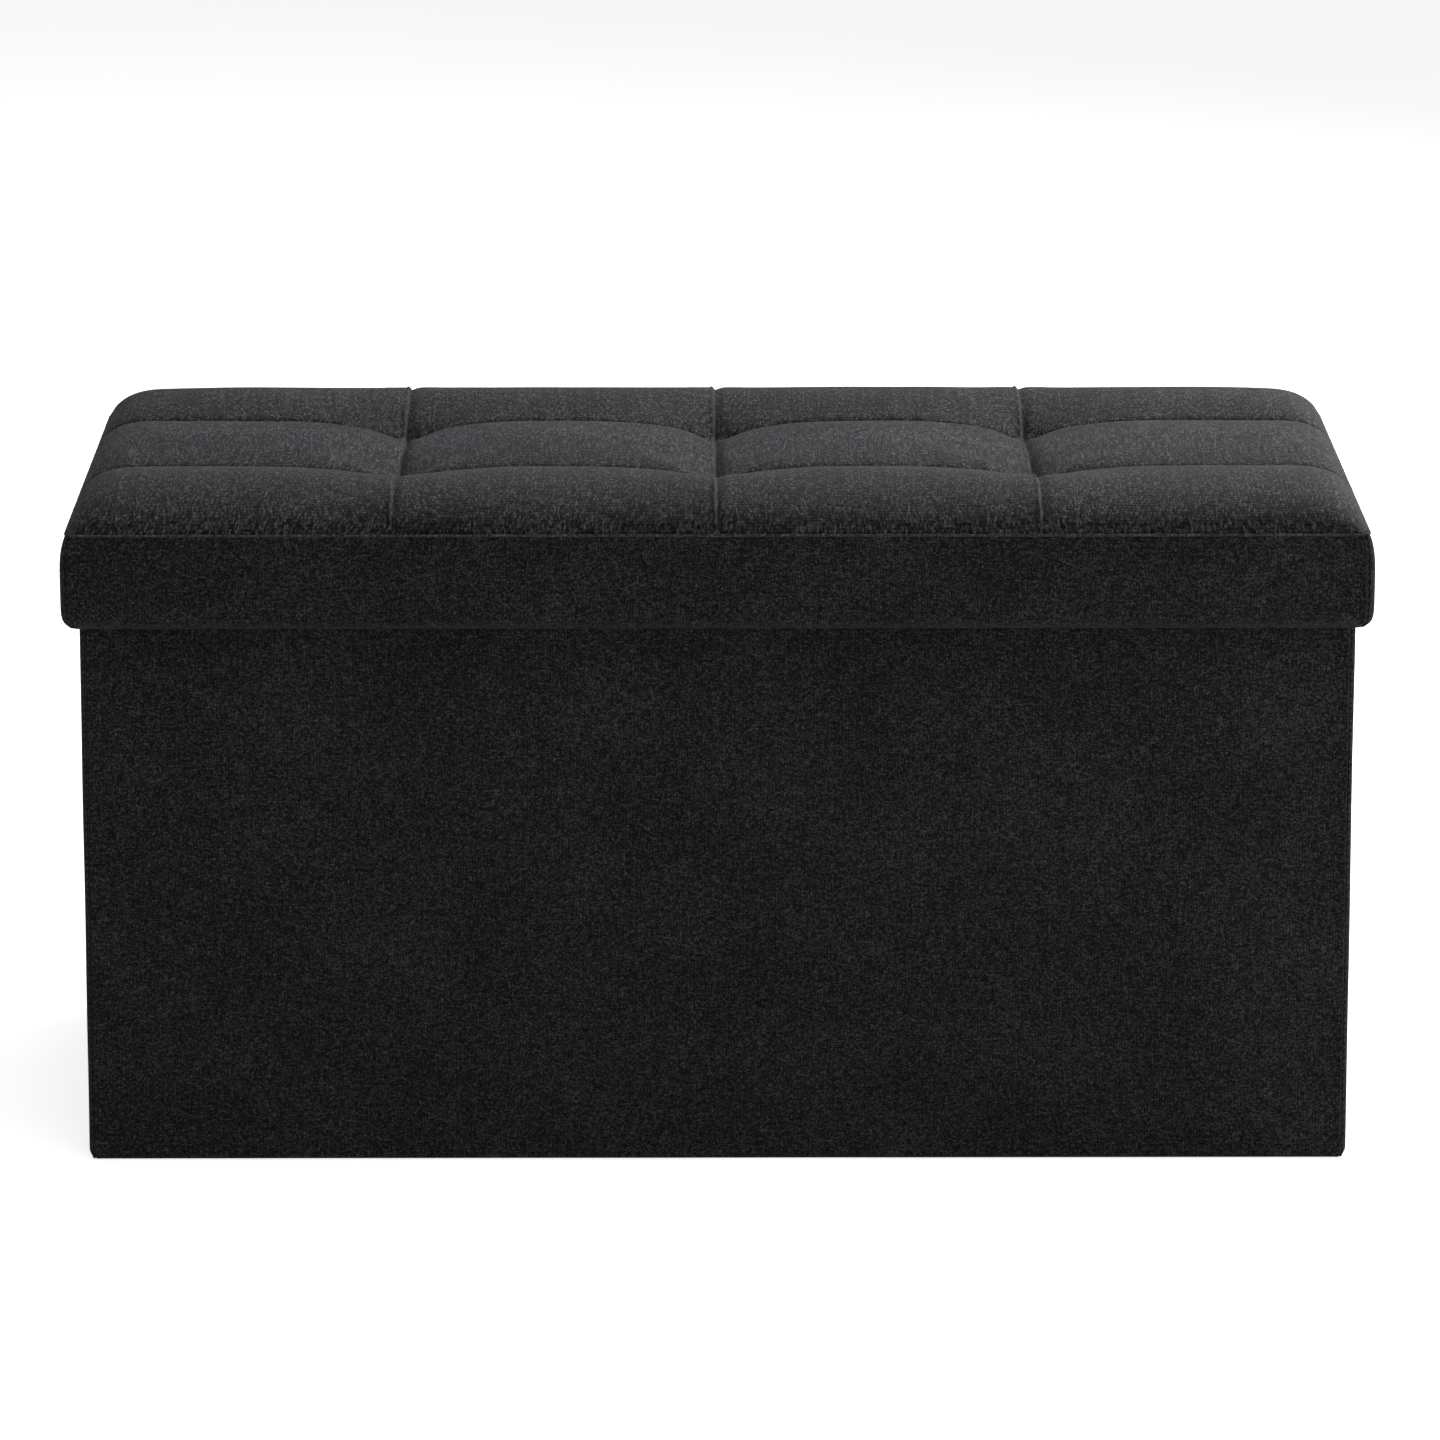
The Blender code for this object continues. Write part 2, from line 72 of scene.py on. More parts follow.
HALF_BODY_X = float(front_high[0])
HALF_BODY_Y = float(-front_low[1])
WALL_TOP = float(front_high[2])
WALL_DEPTH = float(front_high[1] - front_low[1])
HALF_LID_X = float(side_skirt_high[0])
HALF_LID_Y = float(-skirt_low[1])
HALF_TOP_X = float(cover_high[0])
HALF_TOP_Y = float(cover_high[1])
RIM_Z = float(skirt_low[2])
EDGE_Z = float(skirt_high[2]) + CLOTH_THICKNESS + GAP
CROWN = float(cover_high[2]) - EDGE_Z
TUFTS = [tuple((low + high)[:2] / 2) for low, high in tie_boxes]
SEAMS_X = sorted({round(float(x), 5) for x, _ in TUFTS})
SEAMS_Y = sorted({round(float(y), 5) for _, y in TUFTS})


# ---- mesh helpers
def cosine_lines(start, end, count):
    """count steps from start to end, finest near both ends."""
    turn = np.linspace(0.0, math.pi, count + 1)
    return start + (end - start) * (1 - np.cos(turn)) / 2


def joined(*runs):
    """Runs of values laid end to end, each shared end kept once."""
    first, *rest = runs
    return np.concatenate([first] + [run[1:] for run in rest])


def grid_faces(rows, columns):
    index = np.arange(rows * columns).reshape(rows, columns)
    corners = (index[:-1, :-1], index[:-1, 1:], index[1:, 1:], index[1:, :-1])
    return np.stack([corner.ravel() for corner in corners], axis=1)


def linked(name, data):
    obj = bpy.data.objects.new(name, data)
    bpy.context.scene.collection.objects.link(obj)
    return obj


def mesh_object(name, points, faces, material, place=None):
    """Smooth mesh object; place holds each point's position on its cloth, in metres."""
    mesh = bpy.data.meshes.new(name)
    mesh.from_pydata([tuple(p) for p in points], [], [tuple(int(i) for i in f) for f in faces])
    mesh.update()
    if place is not None:
        store = mesh.attributes.new("cloth_place", "FLOAT_VECTOR", "POINT")
        padded = np.zeros((len(points), 3), np.float32)
        padded[:, :2] = place
        store.data.foreach_set("vector", padded.ravel())
    mesh.shade_smooth()
    mesh.materials.append(material)
    return linked(name, mesh)


def sheet_object(name, points, place, material, outward, thickness):
    """Sheet over a rows x columns x 3 grid, thickened away from its outward side."""
    rows, columns = points.shape[:2]
    faces = grid_faces(rows, columns)
    row, column = rows // 2, columns // 2
    along = points[row, column] - points[row, column - 1]
    down = points[row, column] - points[row - 1, column]
    if np.dot(np.cross(along, down), outward) < 0:
        faces = faces[:, ::-1]
    obj = mesh_object(name, points.reshape(-1, 3), faces, material, place.reshape(-1, 2))
    solidify = obj.modifiers.new("thickness", "SOLIDIFY")
    solidify.thickness = thickness
    solidify.offset = -1.0
    apply_modifiers(obj)
    return obj


def stand_in(obj, body, node):
    """Let a piece ride on its body and show in place of its CAD node."""
    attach(obj, body)
    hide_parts(node)


def apply_modifiers(obj):
    depsgraph = bpy.context.evaluated_depsgraph_get()
    mesh = bpy.data.meshes.new_from_object(obj.evaluated_get(depsgraph), depsgraph=depsgraph)
    obj.modifiers.clear()
    obj.data = mesh


def face_outwards(obj):
    bm = bmesh.new()
    bm.from_mesh(obj.data)
    bmesh.ops.recalc_face_normals(bm, faces=bm.faces)
    bm.to_mesh(obj.data)
    bm.free()


def ring_faces(rings, sides, closed=False, first=0):
    """Quads between rings of points that follow one another."""
    faces = []
    for ring in range(rings if closed else rings - 1):
        near, far = first + ring * sides, first + (ring + 1) % rings * sides
        for side in range(sides):
            beside = (side + 1) % sides
            faces.append((near + side, near + beside, far + beside, far + side))
    return faces


def end_caps(rings, sides):
    return [tuple(range(sides)), tuple(range((rings - 1) * sides, rings * sides))]


def running(steps):
    """Distance run at each point, from the steps between them."""
    return np.concatenate([[0.0], np.cumsum(steps)])


def facing_of(outline, half_y):
    """Outward direction (x, y) of each outline point: y on the long sides, else x."""
    on_long = np.abs(outline[:, 1]) >= half_y - 1e-6
    return (
        np.where(on_long, 0.0, np.sign(outline[:, 0])),
        np.where(on_long, np.sign(outline[:, 1]), 0.0),
    )


def drawn_in(outline, inset, half_x, half_y):
    """Outline points (x, y) of a rectangle of those half sizes, drawn in by inset."""
    x = outline[None, :, 0] * (half_x - inset) / half_x
    return x, outline[None, :, 1] * (half_y - inset) / half_y


def side_outline(facing, wrap, depth, half_x, half_y):
    """Points (x, y) round a short side, with wrap along the ends of both long sides."""
    outline = [(facing * x, -half_y) for x in wrap[:-1]]
    outline += [(facing * half_x, y) for y in depth]
    return outline + [(facing * x, half_y) for x in wrap[-2::-1]]


def round_corner(u, v, half_u, half_v, radius):
    """Round the corners of a rectangle of those half sizes, for points on or inside it."""
    past_u = np.clip((np.abs(u) - (half_u - radius)) / radius, 0.0, 1.0)
    past_v = np.clip((np.abs(v) - (half_v - radius)) / radius, 0.0, 1.0)
    both = (past_u > 0) & (past_v > 0)
    new_u = half_u - radius + radius * past_u * np.sqrt(1 - past_v**2 / 2)
    new_v = half_v - radius + radius * past_v * np.sqrt(1 - past_u**2 / 2)
    return np.where(both, np.sign(u) * new_u, u), np.where(both, np.sign(v) * new_v, v)


def ripple(x, y, z, size, height):
    """Smooth seeded unevenness of a hand-covered surface."""
    flat = np.stack([np.ravel(x), np.ravel(y), np.ravel(z)], axis=1) / size
    values = [noise.noise(Vector(point)) for point in flat]
    return height * np.array(values).reshape(np.shape(x))


def bump(distance, spread):
    return np.exp(-((distance / spread) ** 2))


# ---- node helpers
class Nodes:
    """Short way to write a material's node tree."""

    def __init__(self, name):
        self.material = bpy.data.materials.new(name)
        self.material.use_nodes = True
        self.tree = self.material.node_tree
        self.shader = self.tree.nodes["Principled BSDF"]

    def add(self, kind, inputs=None, **settings):
        node = self.tree.nodes.new("ShaderNode" + kind)
        for key, value in settings.items():
            setattr(node, key, value)
        for key, value in (inputs or {}).items():
            self.put(node.inputs[key], value)
        return node

    def put(self, socket, value):
        if isinstance(value, bpy.types.NodeSocket):
            self.tree.links.new(value, socket)
        else:
            socket.default_value = value

    def math(self, operation, first, second=0.0, third=0.0):
        values = {0: first, 1: second, 2: third}
        return self.add("Math", values, operation=operation).outputs[0]

    def scaled(self, vector, scale):
        return self.vector("MULTIPLY", vector, scale)

    def noise(self, vector, scale, detail=2.0, roughness=0.5):
        inputs = {"Vector": vector, "Scale": scale, "Detail": detail, "Roughness": roughness}
        return self.add("TexNoise", inputs).outputs["Fac"]

    def vector(self, operation, first, second=(0.0, 0.0, 0.0)):
        values = {0: first, 1: second}
        return self.add("VectorMath", values, operation=operation).outputs[0]

    def total(self, *items):
        """Sum of values; a pair stands for a value and its weight."""
        result = None
        for item in items:
            term = self.math("MULTIPLY", *item) if isinstance(item, tuple) else item
            result = term if result is None else self.math("ADD", result, term)
        return result

    def speckle(self, cell):
        """Random tone of each unit cell."""
        inputs = {"Vector": self.vector("FLOOR", cell)}
        node = self.add("TexWhiteNoise", inputs, noise_dimensions="3D")
        return node.outputs["Value"]

    def wave(self, vector, scale, distortion, direction):
        inputs = {"Vector": vector, "Scale": scale, "Distortion": distortion}
        return self.add("TexWave", inputs, bands_direction=direction).outputs["Fac"]

    def object_place(self):
        return self.add("TexCoord").outputs["Object"]

    def cloth_place(self):
        return self.add("Attribute", attribute_name="cloth_place").outputs["Vector"]

    def map(self, value, from_low, from_high, to_low=0.0, to_high=1.0):
        inputs = {0: value, 1: from_low, 2: from_high, 3: to_low, 4: to_high}
        return self.add("MapRange", inputs).outputs[0]

    def mix(self, factor, first, second):
        node = self.add("Mix", data_type="RGBA")
        self.put(node.inputs[0], factor)
        self.put(node.inputs[6], (*first, 1.0) if isinstance(first, tuple) else first)
        self.put(node.inputs[7], (*second, 1.0) if isinstance(second, tuple) else second)
        return node.outputs[2]

    def preset(self, **values):
        """Set sockets of the shader by name, with underscores for spaces."""
        for key, value in values.items():
            self.shader.inputs[key.replace("_", " ")].default_value = value

    def finish(self, color, roughness, height=None, distance=0.0, strength=1.0, metallic=0.0):
        self.put(self.shader.inputs["Base Color"], color)
        self.put(self.shader.inputs["Roughness"], roughness)
        self.preset(Metallic=metallic)
        if height is not None:
            inputs = {"Height": height, "Distance": distance, "Strength": strength}
            self.put(self.shader.inputs["Normal"], self.add("Bump", inputs).outputs[0])
        return self.material


THREAD_WANDER = 2.6
SLUB_RUN = (75.0, 820.0, 1.0)


def linen_material(name, dark, light, pitch, knot_pitch, slub_share, relief, contrast):
    """Imitation linen: plain weave of uneven melange threads with slubs and a soft sheen."""
    nodes = Nodes(name)
    place = nodes.cloth_place()
    drift = nodes.add("TexNoise", {"Vector": place, "Scale": 130.0, "Detail": 2.0})
    centred = nodes.vector("SUBTRACT", drift.outputs["Color"], (0.5, 0.5, 0.5))
    reach = (THREAD_WANDER * knot_pitch[0], THREAD_WANDER * knot_pitch[1], 0.0)
    wander = nodes.scaled(centred, reach)
    shifted = nodes.vector("ADD", place, wander)
    threads = nodes.scaled(shifted, (1 / pitch[0], 1 / pitch[1], 0.0))
    long_tone = nodes.speckle(threads)
    knot_tone = nodes.speckle(nodes.scaled(shifted, (1 / knot_pitch[0], 1 / knot_pitch[1], 0.0)))
    thread_tone = nodes.total((long_tone, 0.35), (knot_tone, 0.65))
    parts = nodes.add("SeparateXYZ", {0: threads})
    turn_u = nodes.math("SINE", nodes.math("MULTIPLY", parts.outputs[0], math.pi))
    turn_v = nodes.math("SINE", nodes.math("MULTIPLY", parts.outputs[1], math.pi))
    crossing = nodes.math("MULTIPLY", turn_u, turn_v)
    swell = nodes.math("POWER", nodes.math("ABSOLUTE", crossing), 0.6)
    warp_on_top = nodes.map(crossing, -0.2, 0.2)
    slubs = []
    for scale in (SLUB_RUN, SLUB_RUN[1::-1] + SLUB_RUN[2:]):
        streak = nodes.noise(nodes.scaled(shifted, scale), 1.0, 2.0, 0.6)
        slubs.append(nodes.map(streak, 0.35, 0.7))
    slub = nodes.total((slubs[0], slub_share[0]), (slubs[1], slub_share[1]))
    lint = nodes.map(nodes.noise(place, 2600.0, 2.0, 0.6), 0.3, 0.7, -0.07, 0.07)
    cloud = nodes.map(nodes.noise(place, 12.0, 3.0, 0.55), 0.3, 0.7, -0.05, 0.05)
    # The crest swell in the tone makes thread crests lighter and the hollows between threads
    # darker: painted highlight and shade on the weave, beside the threads' own melange tone.
    woven = (thread_tone, 0.80), (swell, 0.16)
    tone = nodes.total(*woven, slub, lint, cloud, (warp_on_top, 0.05))
    factor = nodes.math("POWER", nodes.map(tone, 0.14, 1.05), contrast)
    color = nodes.mix(factor, dark, light)
    height = nodes.total(swell, (tone, 0.8))
    nodes.preset(Sheen_Weight=0.06, Sheen_Roughness=0.5, Sheen_Tint=(0.88, 0.90, 1.0, 1.0))
    nodes.preset(Specular_IOR_Level=0.12)
    return nodes.finish(color, nodes.map(swell, 0.0, 1.0, 0.98, 0.80), height, relief, 0.85)


def nonwoven_material():
    """Black felted lining: fine random fibres pressed with a grid of small dots."""
    nodes = Nodes("nonwoven_lining")
    place = nodes.cloth_place()
    fibre = nodes.noise(nodes.scaled(place, (1.0, 0.35, 1.0)), 1600.0, 3.0, 0.7)
    dots = nodes.add("TexVoronoi", {"Vector": place, "Scale": 450.0, "Randomness": 0.15})
    pressed = nodes.map(dots.outputs["Distance"], 0.12, 0.3)
    cloud = nodes.noise(place, 14.0, 3.0)
    tone = nodes.total((fibre, 0.7), (cloud, 0.4))
    color = nodes.mix(nodes.map(tone, 0.3, 0.8), (0.009, 0.009, 0.010), (0.034, 0.034, 0.036))
    height = nodes.total((pressed, 0.7), (fibre, 0.5))
    nodes.preset(Sheen_Weight=0.08)
    return nodes.finish(color, nodes.map(pressed, 0.0, 1.0, 0.7, 0.95), height, 0.12 * MM, 0.7)


def fibreboard_material():
    """Bare fibreboard: fine brown flakes, streaked in thin layers that show on the sawn edges."""
    nodes = Nodes("fibreboard")
    place = nodes.object_place()
    flake = nodes.noise(place, 700.0, 4.0, 0.7)
    layer = nodes.noise(nodes.scaled(place, (60.0, 60.0, 900.0)), 1.0, 3.0)
    tone = nodes.total((flake, 0.7), (layer, 0.3))
    color = nodes.mix(nodes.map(tone, 0.3, 0.7), (0.20, 0.125, 0.07), (0.43, 0.30, 0.18))
    return nodes.finish(color, nodes.map(flake, 0.2, 0.8, 0.72, 0.9), tone, 0.15 * MM, 0.6)


def foam_material():
    """Cream polyurethane foam: open cells of one size over a soft cloudy tone."""
    nodes = Nodes("cream_foam")
    place = nodes.object_place()
    bubbles = nodes.add("TexVoronoi", {"Vector": place, "Scale": 620.0})
    cells = bubbles.outputs["Distance"]
    tone = nodes.noise(place, 25.0, 3.0)
    color = nodes.mix(nodes.map(tone, 0.3, 0.7), (0.72, 0.62, 0.40), (0.84, 0.78, 0.60))
    # Colour darkened toward each cell's centre: painted shade in the open pores.
    shaded = nodes.mix(nodes.map(cells, 0.0, 0.5), (0.50, 0.42, 0.26), color)
    return nodes.finish(shaded, nodes.map(tone, 0.3, 0.7, 0.88, 0.98), cells, 0.6 * MM, 0.8)


def webbing_material():
    """Black woven tape: fat cross ribs with a herringbone of finer threads."""
    nodes = Nodes("black_webbing")
    place = nodes.object_place()
    ribs = nodes.wave(place, 160.0, 0.6, "Y")
    threads = nodes.wave(place, 420.0, 1.2, "DIAGONAL")
    height = nodes.total(ribs, (threads, 0.4))
    # Colour follows the rib and thread height: painted shade in the grooves and painted highlight
    # on the rib tops.
    shade = nodes.map(height, 0.0, 1.4)
    color = nodes.mix(shade, (0.006, 0.006, 0.007), (0.035, 0.035, 0.038))
    return nodes.finish(color, nodes.map(height, 0.0, 1.4, 0.9, 0.6), height, 0.25 * MM, 0.8)


def twine_material():
    """Waxed black thread, twisted along its run."""
    nodes = Nodes("waxed_twine")
    place = nodes.object_place()
    twist = nodes.wave(place, 330.0, 0.8, "DIAGONAL")
    lint = nodes.noise(place, 2200.0, 2.0)
    # Colour follows the twist: painted shade in the twist grooves and painted highlight on its
    # ridges, with the lint's own random tone mixed in.
    tone = nodes.total(twist, (lint, 0.5))
    color = nodes.mix(nodes.map(tone, 0.2, 1.3), (0.008, 0.008, 0.009), (0.045, 0.045, 0.05))
    return nodes.finish(color, nodes.map(tone, 0.0, 1.5, 0.7, 0.42), twist, 0.15 * MM, 0.7)


def coated_wire_material():
    """Black powder coat: a fine orange-peel skin with a few rubbed spots."""
    nodes = Nodes("black_powder_coat")
    place = nodes.object_place()
    peel = nodes.noise(place, 1500.0, 2.0)
    rub = nodes.noise(place, 45.0, 4.0, 0.65)
    worn = nodes.map(rub, 0.62, 0.78)
    color = nodes.mix(worn, (0.013, 0.013, 0.014), (0.055, 0.055, 0.058))
    roughness = nodes.total(nodes.map(peel, 0.3, 0.7, 0.34, 0.46), (worn, 0.15))
    return nodes.finish(color, roughness, peel, 0.05 * MM, 0.6)


def floor_material():
    nodes = Nodes("studio_floor")
    place = nodes.object_place()
    tone = nodes.noise(place, 3.0, 4.0)
    color = nodes.mix(tone, (0.86, 0.86, 0.86), (0.90, 0.90, 0.90))
    nodes.preset(Emission_Color=(1.0, 1.0, 1.0, 1.0))
    seen = nodes.add("LightPath").outputs["Is Camera Ray"]
    nodes.put(nodes.shader.inputs["Emission Strength"], nodes.map(seen, 0.0, 1.0, 0.15, 0.7))
    return nodes.finish(color, nodes.map(tone, 0.3, 0.7, 0.55, 0.65))


# ---- box panels
CORNER_RADIUS = 4 * MM
FOOT_RADIUS = 6 * MM
HEM_RADIUS = 2 * MM
SEAM_FROM_EDGE = 2.2 * MM
RIDGE_FROM_EDGE = 3.8 * MM
GROOVE_DEPTH = 1.2 * MM
GROOVE_WIDTH = 0.7 * MM
LIP_STEPS = 12
FACE_STEPS = 64


def round_box(x, y, z, inset):
    """Round the upright corners and the upper and lower edges of the box."""
    half_x = HALF_BODY_X - inset
    half_y = HALF_BODY_Y - inset
    x, y = round_corner(x, y, half_x, half_y, np.maximum(CORNER_RADIUS - inset, 0.2 * MM))
    half_z = WALL_TOP / 2
    for half, radius, low_side, axis in (
        (HALF_BODY_X, FOOT_RADIUS, True, 0),
        (HALF_BODY_Y, HEM_RADIUS, True, 1),
        (HALF_BODY_X, HEM_RADIUS, False, 0),
        (HALF_BODY_Y, HEM_RADIUS, False, 1),
    ):
        centred = z - half_z
        across = x if axis == 0 else y
        new_across, new_z = round_corner(across, centred, half, half_z, radius)
        use = centred < 0 if low_side else centred > 0
        across = np.where(use, new_across, across)
        z = np.where(use, new_z, centred) + half_z
        if axis == 0:
            x = across
        else:
            y = across
    return x, y, z


def panel_rows():
    """Rows of a wall panel as (inset, height): over the top, down the face, and under."""
    lip = cosine_lines(WALL_DEPTH, 0.0, LIP_STEPS)
    face = cosine_lines(WALL_TOP, 0.0, FACE_STEPS)
    insets = joined(lip, np.zeros(FACE_STEPS + 1), lip[::-1])
    heights = joined(np.full(LIP_STEPS + 1, WALL_TOP), face, np.zeros(LIP_STEPS + 1))
    return insets, heights


def build_panel(names, outline, relief, material, outward):
    """Cloth panel of the box on outline points (x, y); relief pushes a column outwards.

    names holds the panel, the CAD node it stands for, and the boards it rests on; the boards are
    not used.
    """
    name, node, rests_on = names
    insets, heights = panel_rows()
    outline = np.array(outline)
    x, y = drawn_in(outline, insets[:, None], HALF_BODY_X, HALF_BODY_Y)
    z = np.repeat(heights[:, None], len(outline), axis=1)
    inset = np.repeat(insets[:, None], len(outline), axis=1)
    x, y, z = round_box(x, y, z, inset)
    on_face = bump(inset, 1.5 * MM)
    push = on_face * (relief[None, :] + ripple(x, y, z, 0.09, 0.35 * MM))
    facing_x, facing_y = facing_of(outline, HALF_BODY_Y)
    x = x + facing_x * push
    y = y + facing_y * push
    run = running(np.hypot(np.diff(outline[:, 0]), np.diff(outline[:, 1])))
    fall = np.where(heights >= WALL_TOP, heights + insets, heights - insets)
    place = np.stack(np.broadcast_arrays(run[None, :], fall[:, None]), axis=2)
    points = np.stack([x, y, z], axis=2)
    panel = sheet_object(name, points, place, material, outward, CLOTH_THICKNESS)
    stand_in(panel, "box", node)


def face_relief(from_edge):
    """Sewn edge of a front or back panel: a rolled ridge beside the stitched groove."""
    ridge = 0.8 * MM * bump(from_edge - RIDGE_FROM_EDGE, 0.8 * MM)
    groove = GROOVE_DEPTH * bump(from_edge - SEAM_FROM_EDGE, GROOVE_WIDTH)
    return ridge - groove


def build_front_and_back(material):
    reach = HALF_BODY_X - SEAM_FROM_EDGE
    columns = cosine_lines(-reach, reach, 130)
    relief = face_relief(HALF_BODY_X - np.abs(columns))
    for side, facing in (("front", -1), ("back", 1)):
        outline = [(x, facing * HALF_BODY_Y) for x in columns]
        names = (f"{side}_panel", f"{side}_cover", f"{side}_board")
        build_panel(names, outline, relief, material, (0, facing, 0))


def build_sides(material):
    """Side panels, which wrap round both upright corners and crease where they fold."""
    reach = HALF_BODY_X - SEAM_FROM_EDGE
    wrap = np.linspace(reach, HALF_BODY_X, 9)
    depth = joined(
        cosine_lines(-HALF_BODY_Y, 0.0, 56),
        cosine_lines(0.0, HALF_BODY_Y, 56),
    )
    for side, facing in (("left", -1), ("right", 1)):
        outline = side_outline(facing, wrap, depth, HALF_BODY_X, HALF_BODY_Y)
        from_edge = np.array([HALF_BODY_X - abs(x) for x, _ in outline])
        depths = np.array([y for _, y in outline])
        groove = -GROOVE_DEPTH * bump(from_edge - SEAM_FROM_EDGE, GROOVE_WIDTH)
        crease = -0.9 * MM * bump(depths, 1.6 * MM) - 0.5 * MM * bump(depths, 9 * MM)
        relief = np.where(np.abs(depths) < HALF_BODY_Y - 1e-6, crease, groove)
        boards = (f"{side}_front_board", f"{side}_rear_board")
        names = (f"{side}_panel", f"{side}_cover", boards)
        build_panel(names, outline, relief, material, (facing, 0, 0))


# ---- quilted lid top
RISE_POWER = 2.75
FRONT_RISE = (80 * MM, 1.45)
BACK_RISE = (55 * MM, 2.2)
WIDTH_RISE = (37 * MM, 1.6)
PUFF = 3.6 * MM
SWELL_CAP = 8 * MM
SWELL_SHAPE = 0.65
SEAM_DIP = 4.6 * MM
SEAM_SPREAD = 17 * MM
DEEPEST_DIP = 14.4 * MM
SEAM_BOW = 4 * MM
CROSS_SEAM_DIP = 3 * MM
CROSS_SEAM_EXTRA = 6.5 * MM
BORDER_LIFT = 4.4 * MM
TUFT_DIP = 12.3 * MM
CROSS_SEAM_REACH = 70 * MM
CROSS_SEAM_SPREAD = 27 * MM
BORDER_LIFT_REACH = 110 * MM
BORDER_LIFT_SPREAD = 24 * MM
TUFT_SPREAD = 27 * MM
STITCHED_MARGIN = 1 * MM
# widths on each side of the stitch line, then depth
LONG_GROOVE = (0.8 * MM, 2.3 * MM, 2.0 * MM)
CROSS_GROOVE = (0.9 * MM, 3.0 * MM)
CROSS_GROOVE_DEPTH = 1.4 * MM
CROSS_RIDGE_HEIGHT = 0.9 * MM
CROSS_RIDGE_OFFSET = 1.9 * MM
PLAN_RADIUS = 7 * MM
WELT_RADIUS = 0.8 * MM
WELT_STEP = 3 * MM
SWELL_FRAMES = 20
CLOTH_SETTINGS = {
    "quality": 8,
    "mass": 0.3,
    "air_damping": 5.0,
    "tension_stiffness": 15,
    "compression_stiffness": 15,
    "shear_stiffness": 10,
    "bending_stiffness": 2.0,
    "tension_damping": 15,
    "compression_damping": 15,
    "vertex_group_mass": "held",
    "use_pressure": True,
    "uniform_pressure_force": 4.0,
}


def rise(distance, length, roundness):
    """Rounded rise of the pad from its border, from 0 to 1."""
    share = np.clip(distance / length, 0.0, 1.0)
    return (1 - (1 - share) ** RISE_POWER) ** (1 / roundness)


def valley(distance, width, power):
    return np.exp(-((np.abs(distance) / width) ** power))


def envelope(x, y):
    depth = np.where(y < 0, rise(HALF_TOP_Y + y, *FRONT_RISE), rise(HALF_TOP_Y - y, *BACK_RISE))
    return rise(HALF_TOP_X - np.abs(x), *WIDTH_RISE) * depth


def nearest(value, stops):
    return np.minimum.reduce([np.abs(value - stop) for stop in stops])


def quilt_height(x, y):
    """Height of the sewn pad above the edge seam, before its patches swell."""
    to_cross_seam = nearest(x, SEAMS_X)
    cross_dip = CROSS_SEAM_DIP + CROSS_SEAM_EXTRA * valley(y, CROSS_SEAM_REACH, 4)
    dip = SEAM_DIP * valley(nearest(y, SEAMS_Y), SEAM_SPREAD, 1.3)
    dip = np.maximum(dip, cross_dip * valley(to_cross_seam, CROSS_SEAM_SPREAD, 1.2))
    near_border = 1 - valley(y, BORDER_LIFT_REACH, 4)
    dip = dip - BORDER_LIFT * near_border * valley(to_cross_seam, BORDER_LIFT_SPREAD, 1.4)
    for tuft_x, tuft_y in TUFTS:
        dip = dip + TUFT_DIP * valley(np.hypot(x - tuft_x, y - tuft_y), TUFT_SPREAD, 1.3)
    return (CROWN - PUFF - np.minimum(dip, DEEPEST_DIP)) * envelope(x, y)


def patch_swell(columns, rows):
    """Upward swell of the twelve patches between their seams, from a cloth under pressure."""
    x, y = np.meshgrid(columns, rows)
    to_seam_x, to_seam_y = nearest(x, SEAMS_X), nearest(y, SEAMS_Y)
    points = np.stack([x, y, quilt_height(x, y)], axis=2)
    faces = grid_faces(len(rows), len(columns))
    plain = bpy.data.materials.new("plain")
    cloth_object = mesh_object("quilt_simulation", points.reshape(-1, 3), faces, plain)
    held = cloth_object.vertex_groups.new(name="held")
    border = np.minimum(HALF_TOP_X - np.abs(x), HALF_TOP_Y - np.abs(y))
    tuft = np.minimum.reduce([np.hypot(x - tx, y - ty) for tx, ty in TUFTS])
    sewn = (np.minimum.reduce([border, to_seam_x, to_seam_y]) < STITCHED_MARGIN) | (tuft < 6 * MM)
    held.add([int(index) for index in np.flatnonzero(sewn.ravel())], 1.0, "REPLACE")
    cloth = cloth_object.modifiers.new("cloth", "CLOTH")
    for setting, value in CLOTH_SETTINGS.items():
        setattr(cloth.settings, setting, value)
    cloth.settings.effector_weights.gravity = 0.0
    cloth.collision_settings.use_collision = False
    cloth.collision_settings.use_self_collision = False
    scene = bpy.context.scene
    for number in range(1, SWELL_FRAMES + 1):
        scene.frame_set(number)
    apply_modifiers(cloth_object)
    moved = np.zeros(len(cloth_object.data.vertices) * 3)
    cloth_object.data.vertices.foreach_get("co", moved)
    scene.frame_set(1)
    bpy.data.objects.remove(cloth_object, do_unlink=True)
    swell = np.clip(moved.reshape(points.shape)[:, :, 2] - points[:, :, 2], 0.0, SWELL_CAP)
    for _ in range(3):
        inner_mean = (swell[:-2, 1:-1] + swell[2:, 1:-1] + swell[1:-1, :-2] + swell[1:-1, 2:]) / 4
        swell[1:-1, 1:-1] = np.where(sewn[1:-1, 1:-1], swell[1:-1, 1:-1], inner_mean)
    fullest = max(float(np.percentile(swell, 90)), 0.3 * PUFF)
    return PUFF * np.minimum(swell / fullest, 1.15) ** SWELL_SHAPE


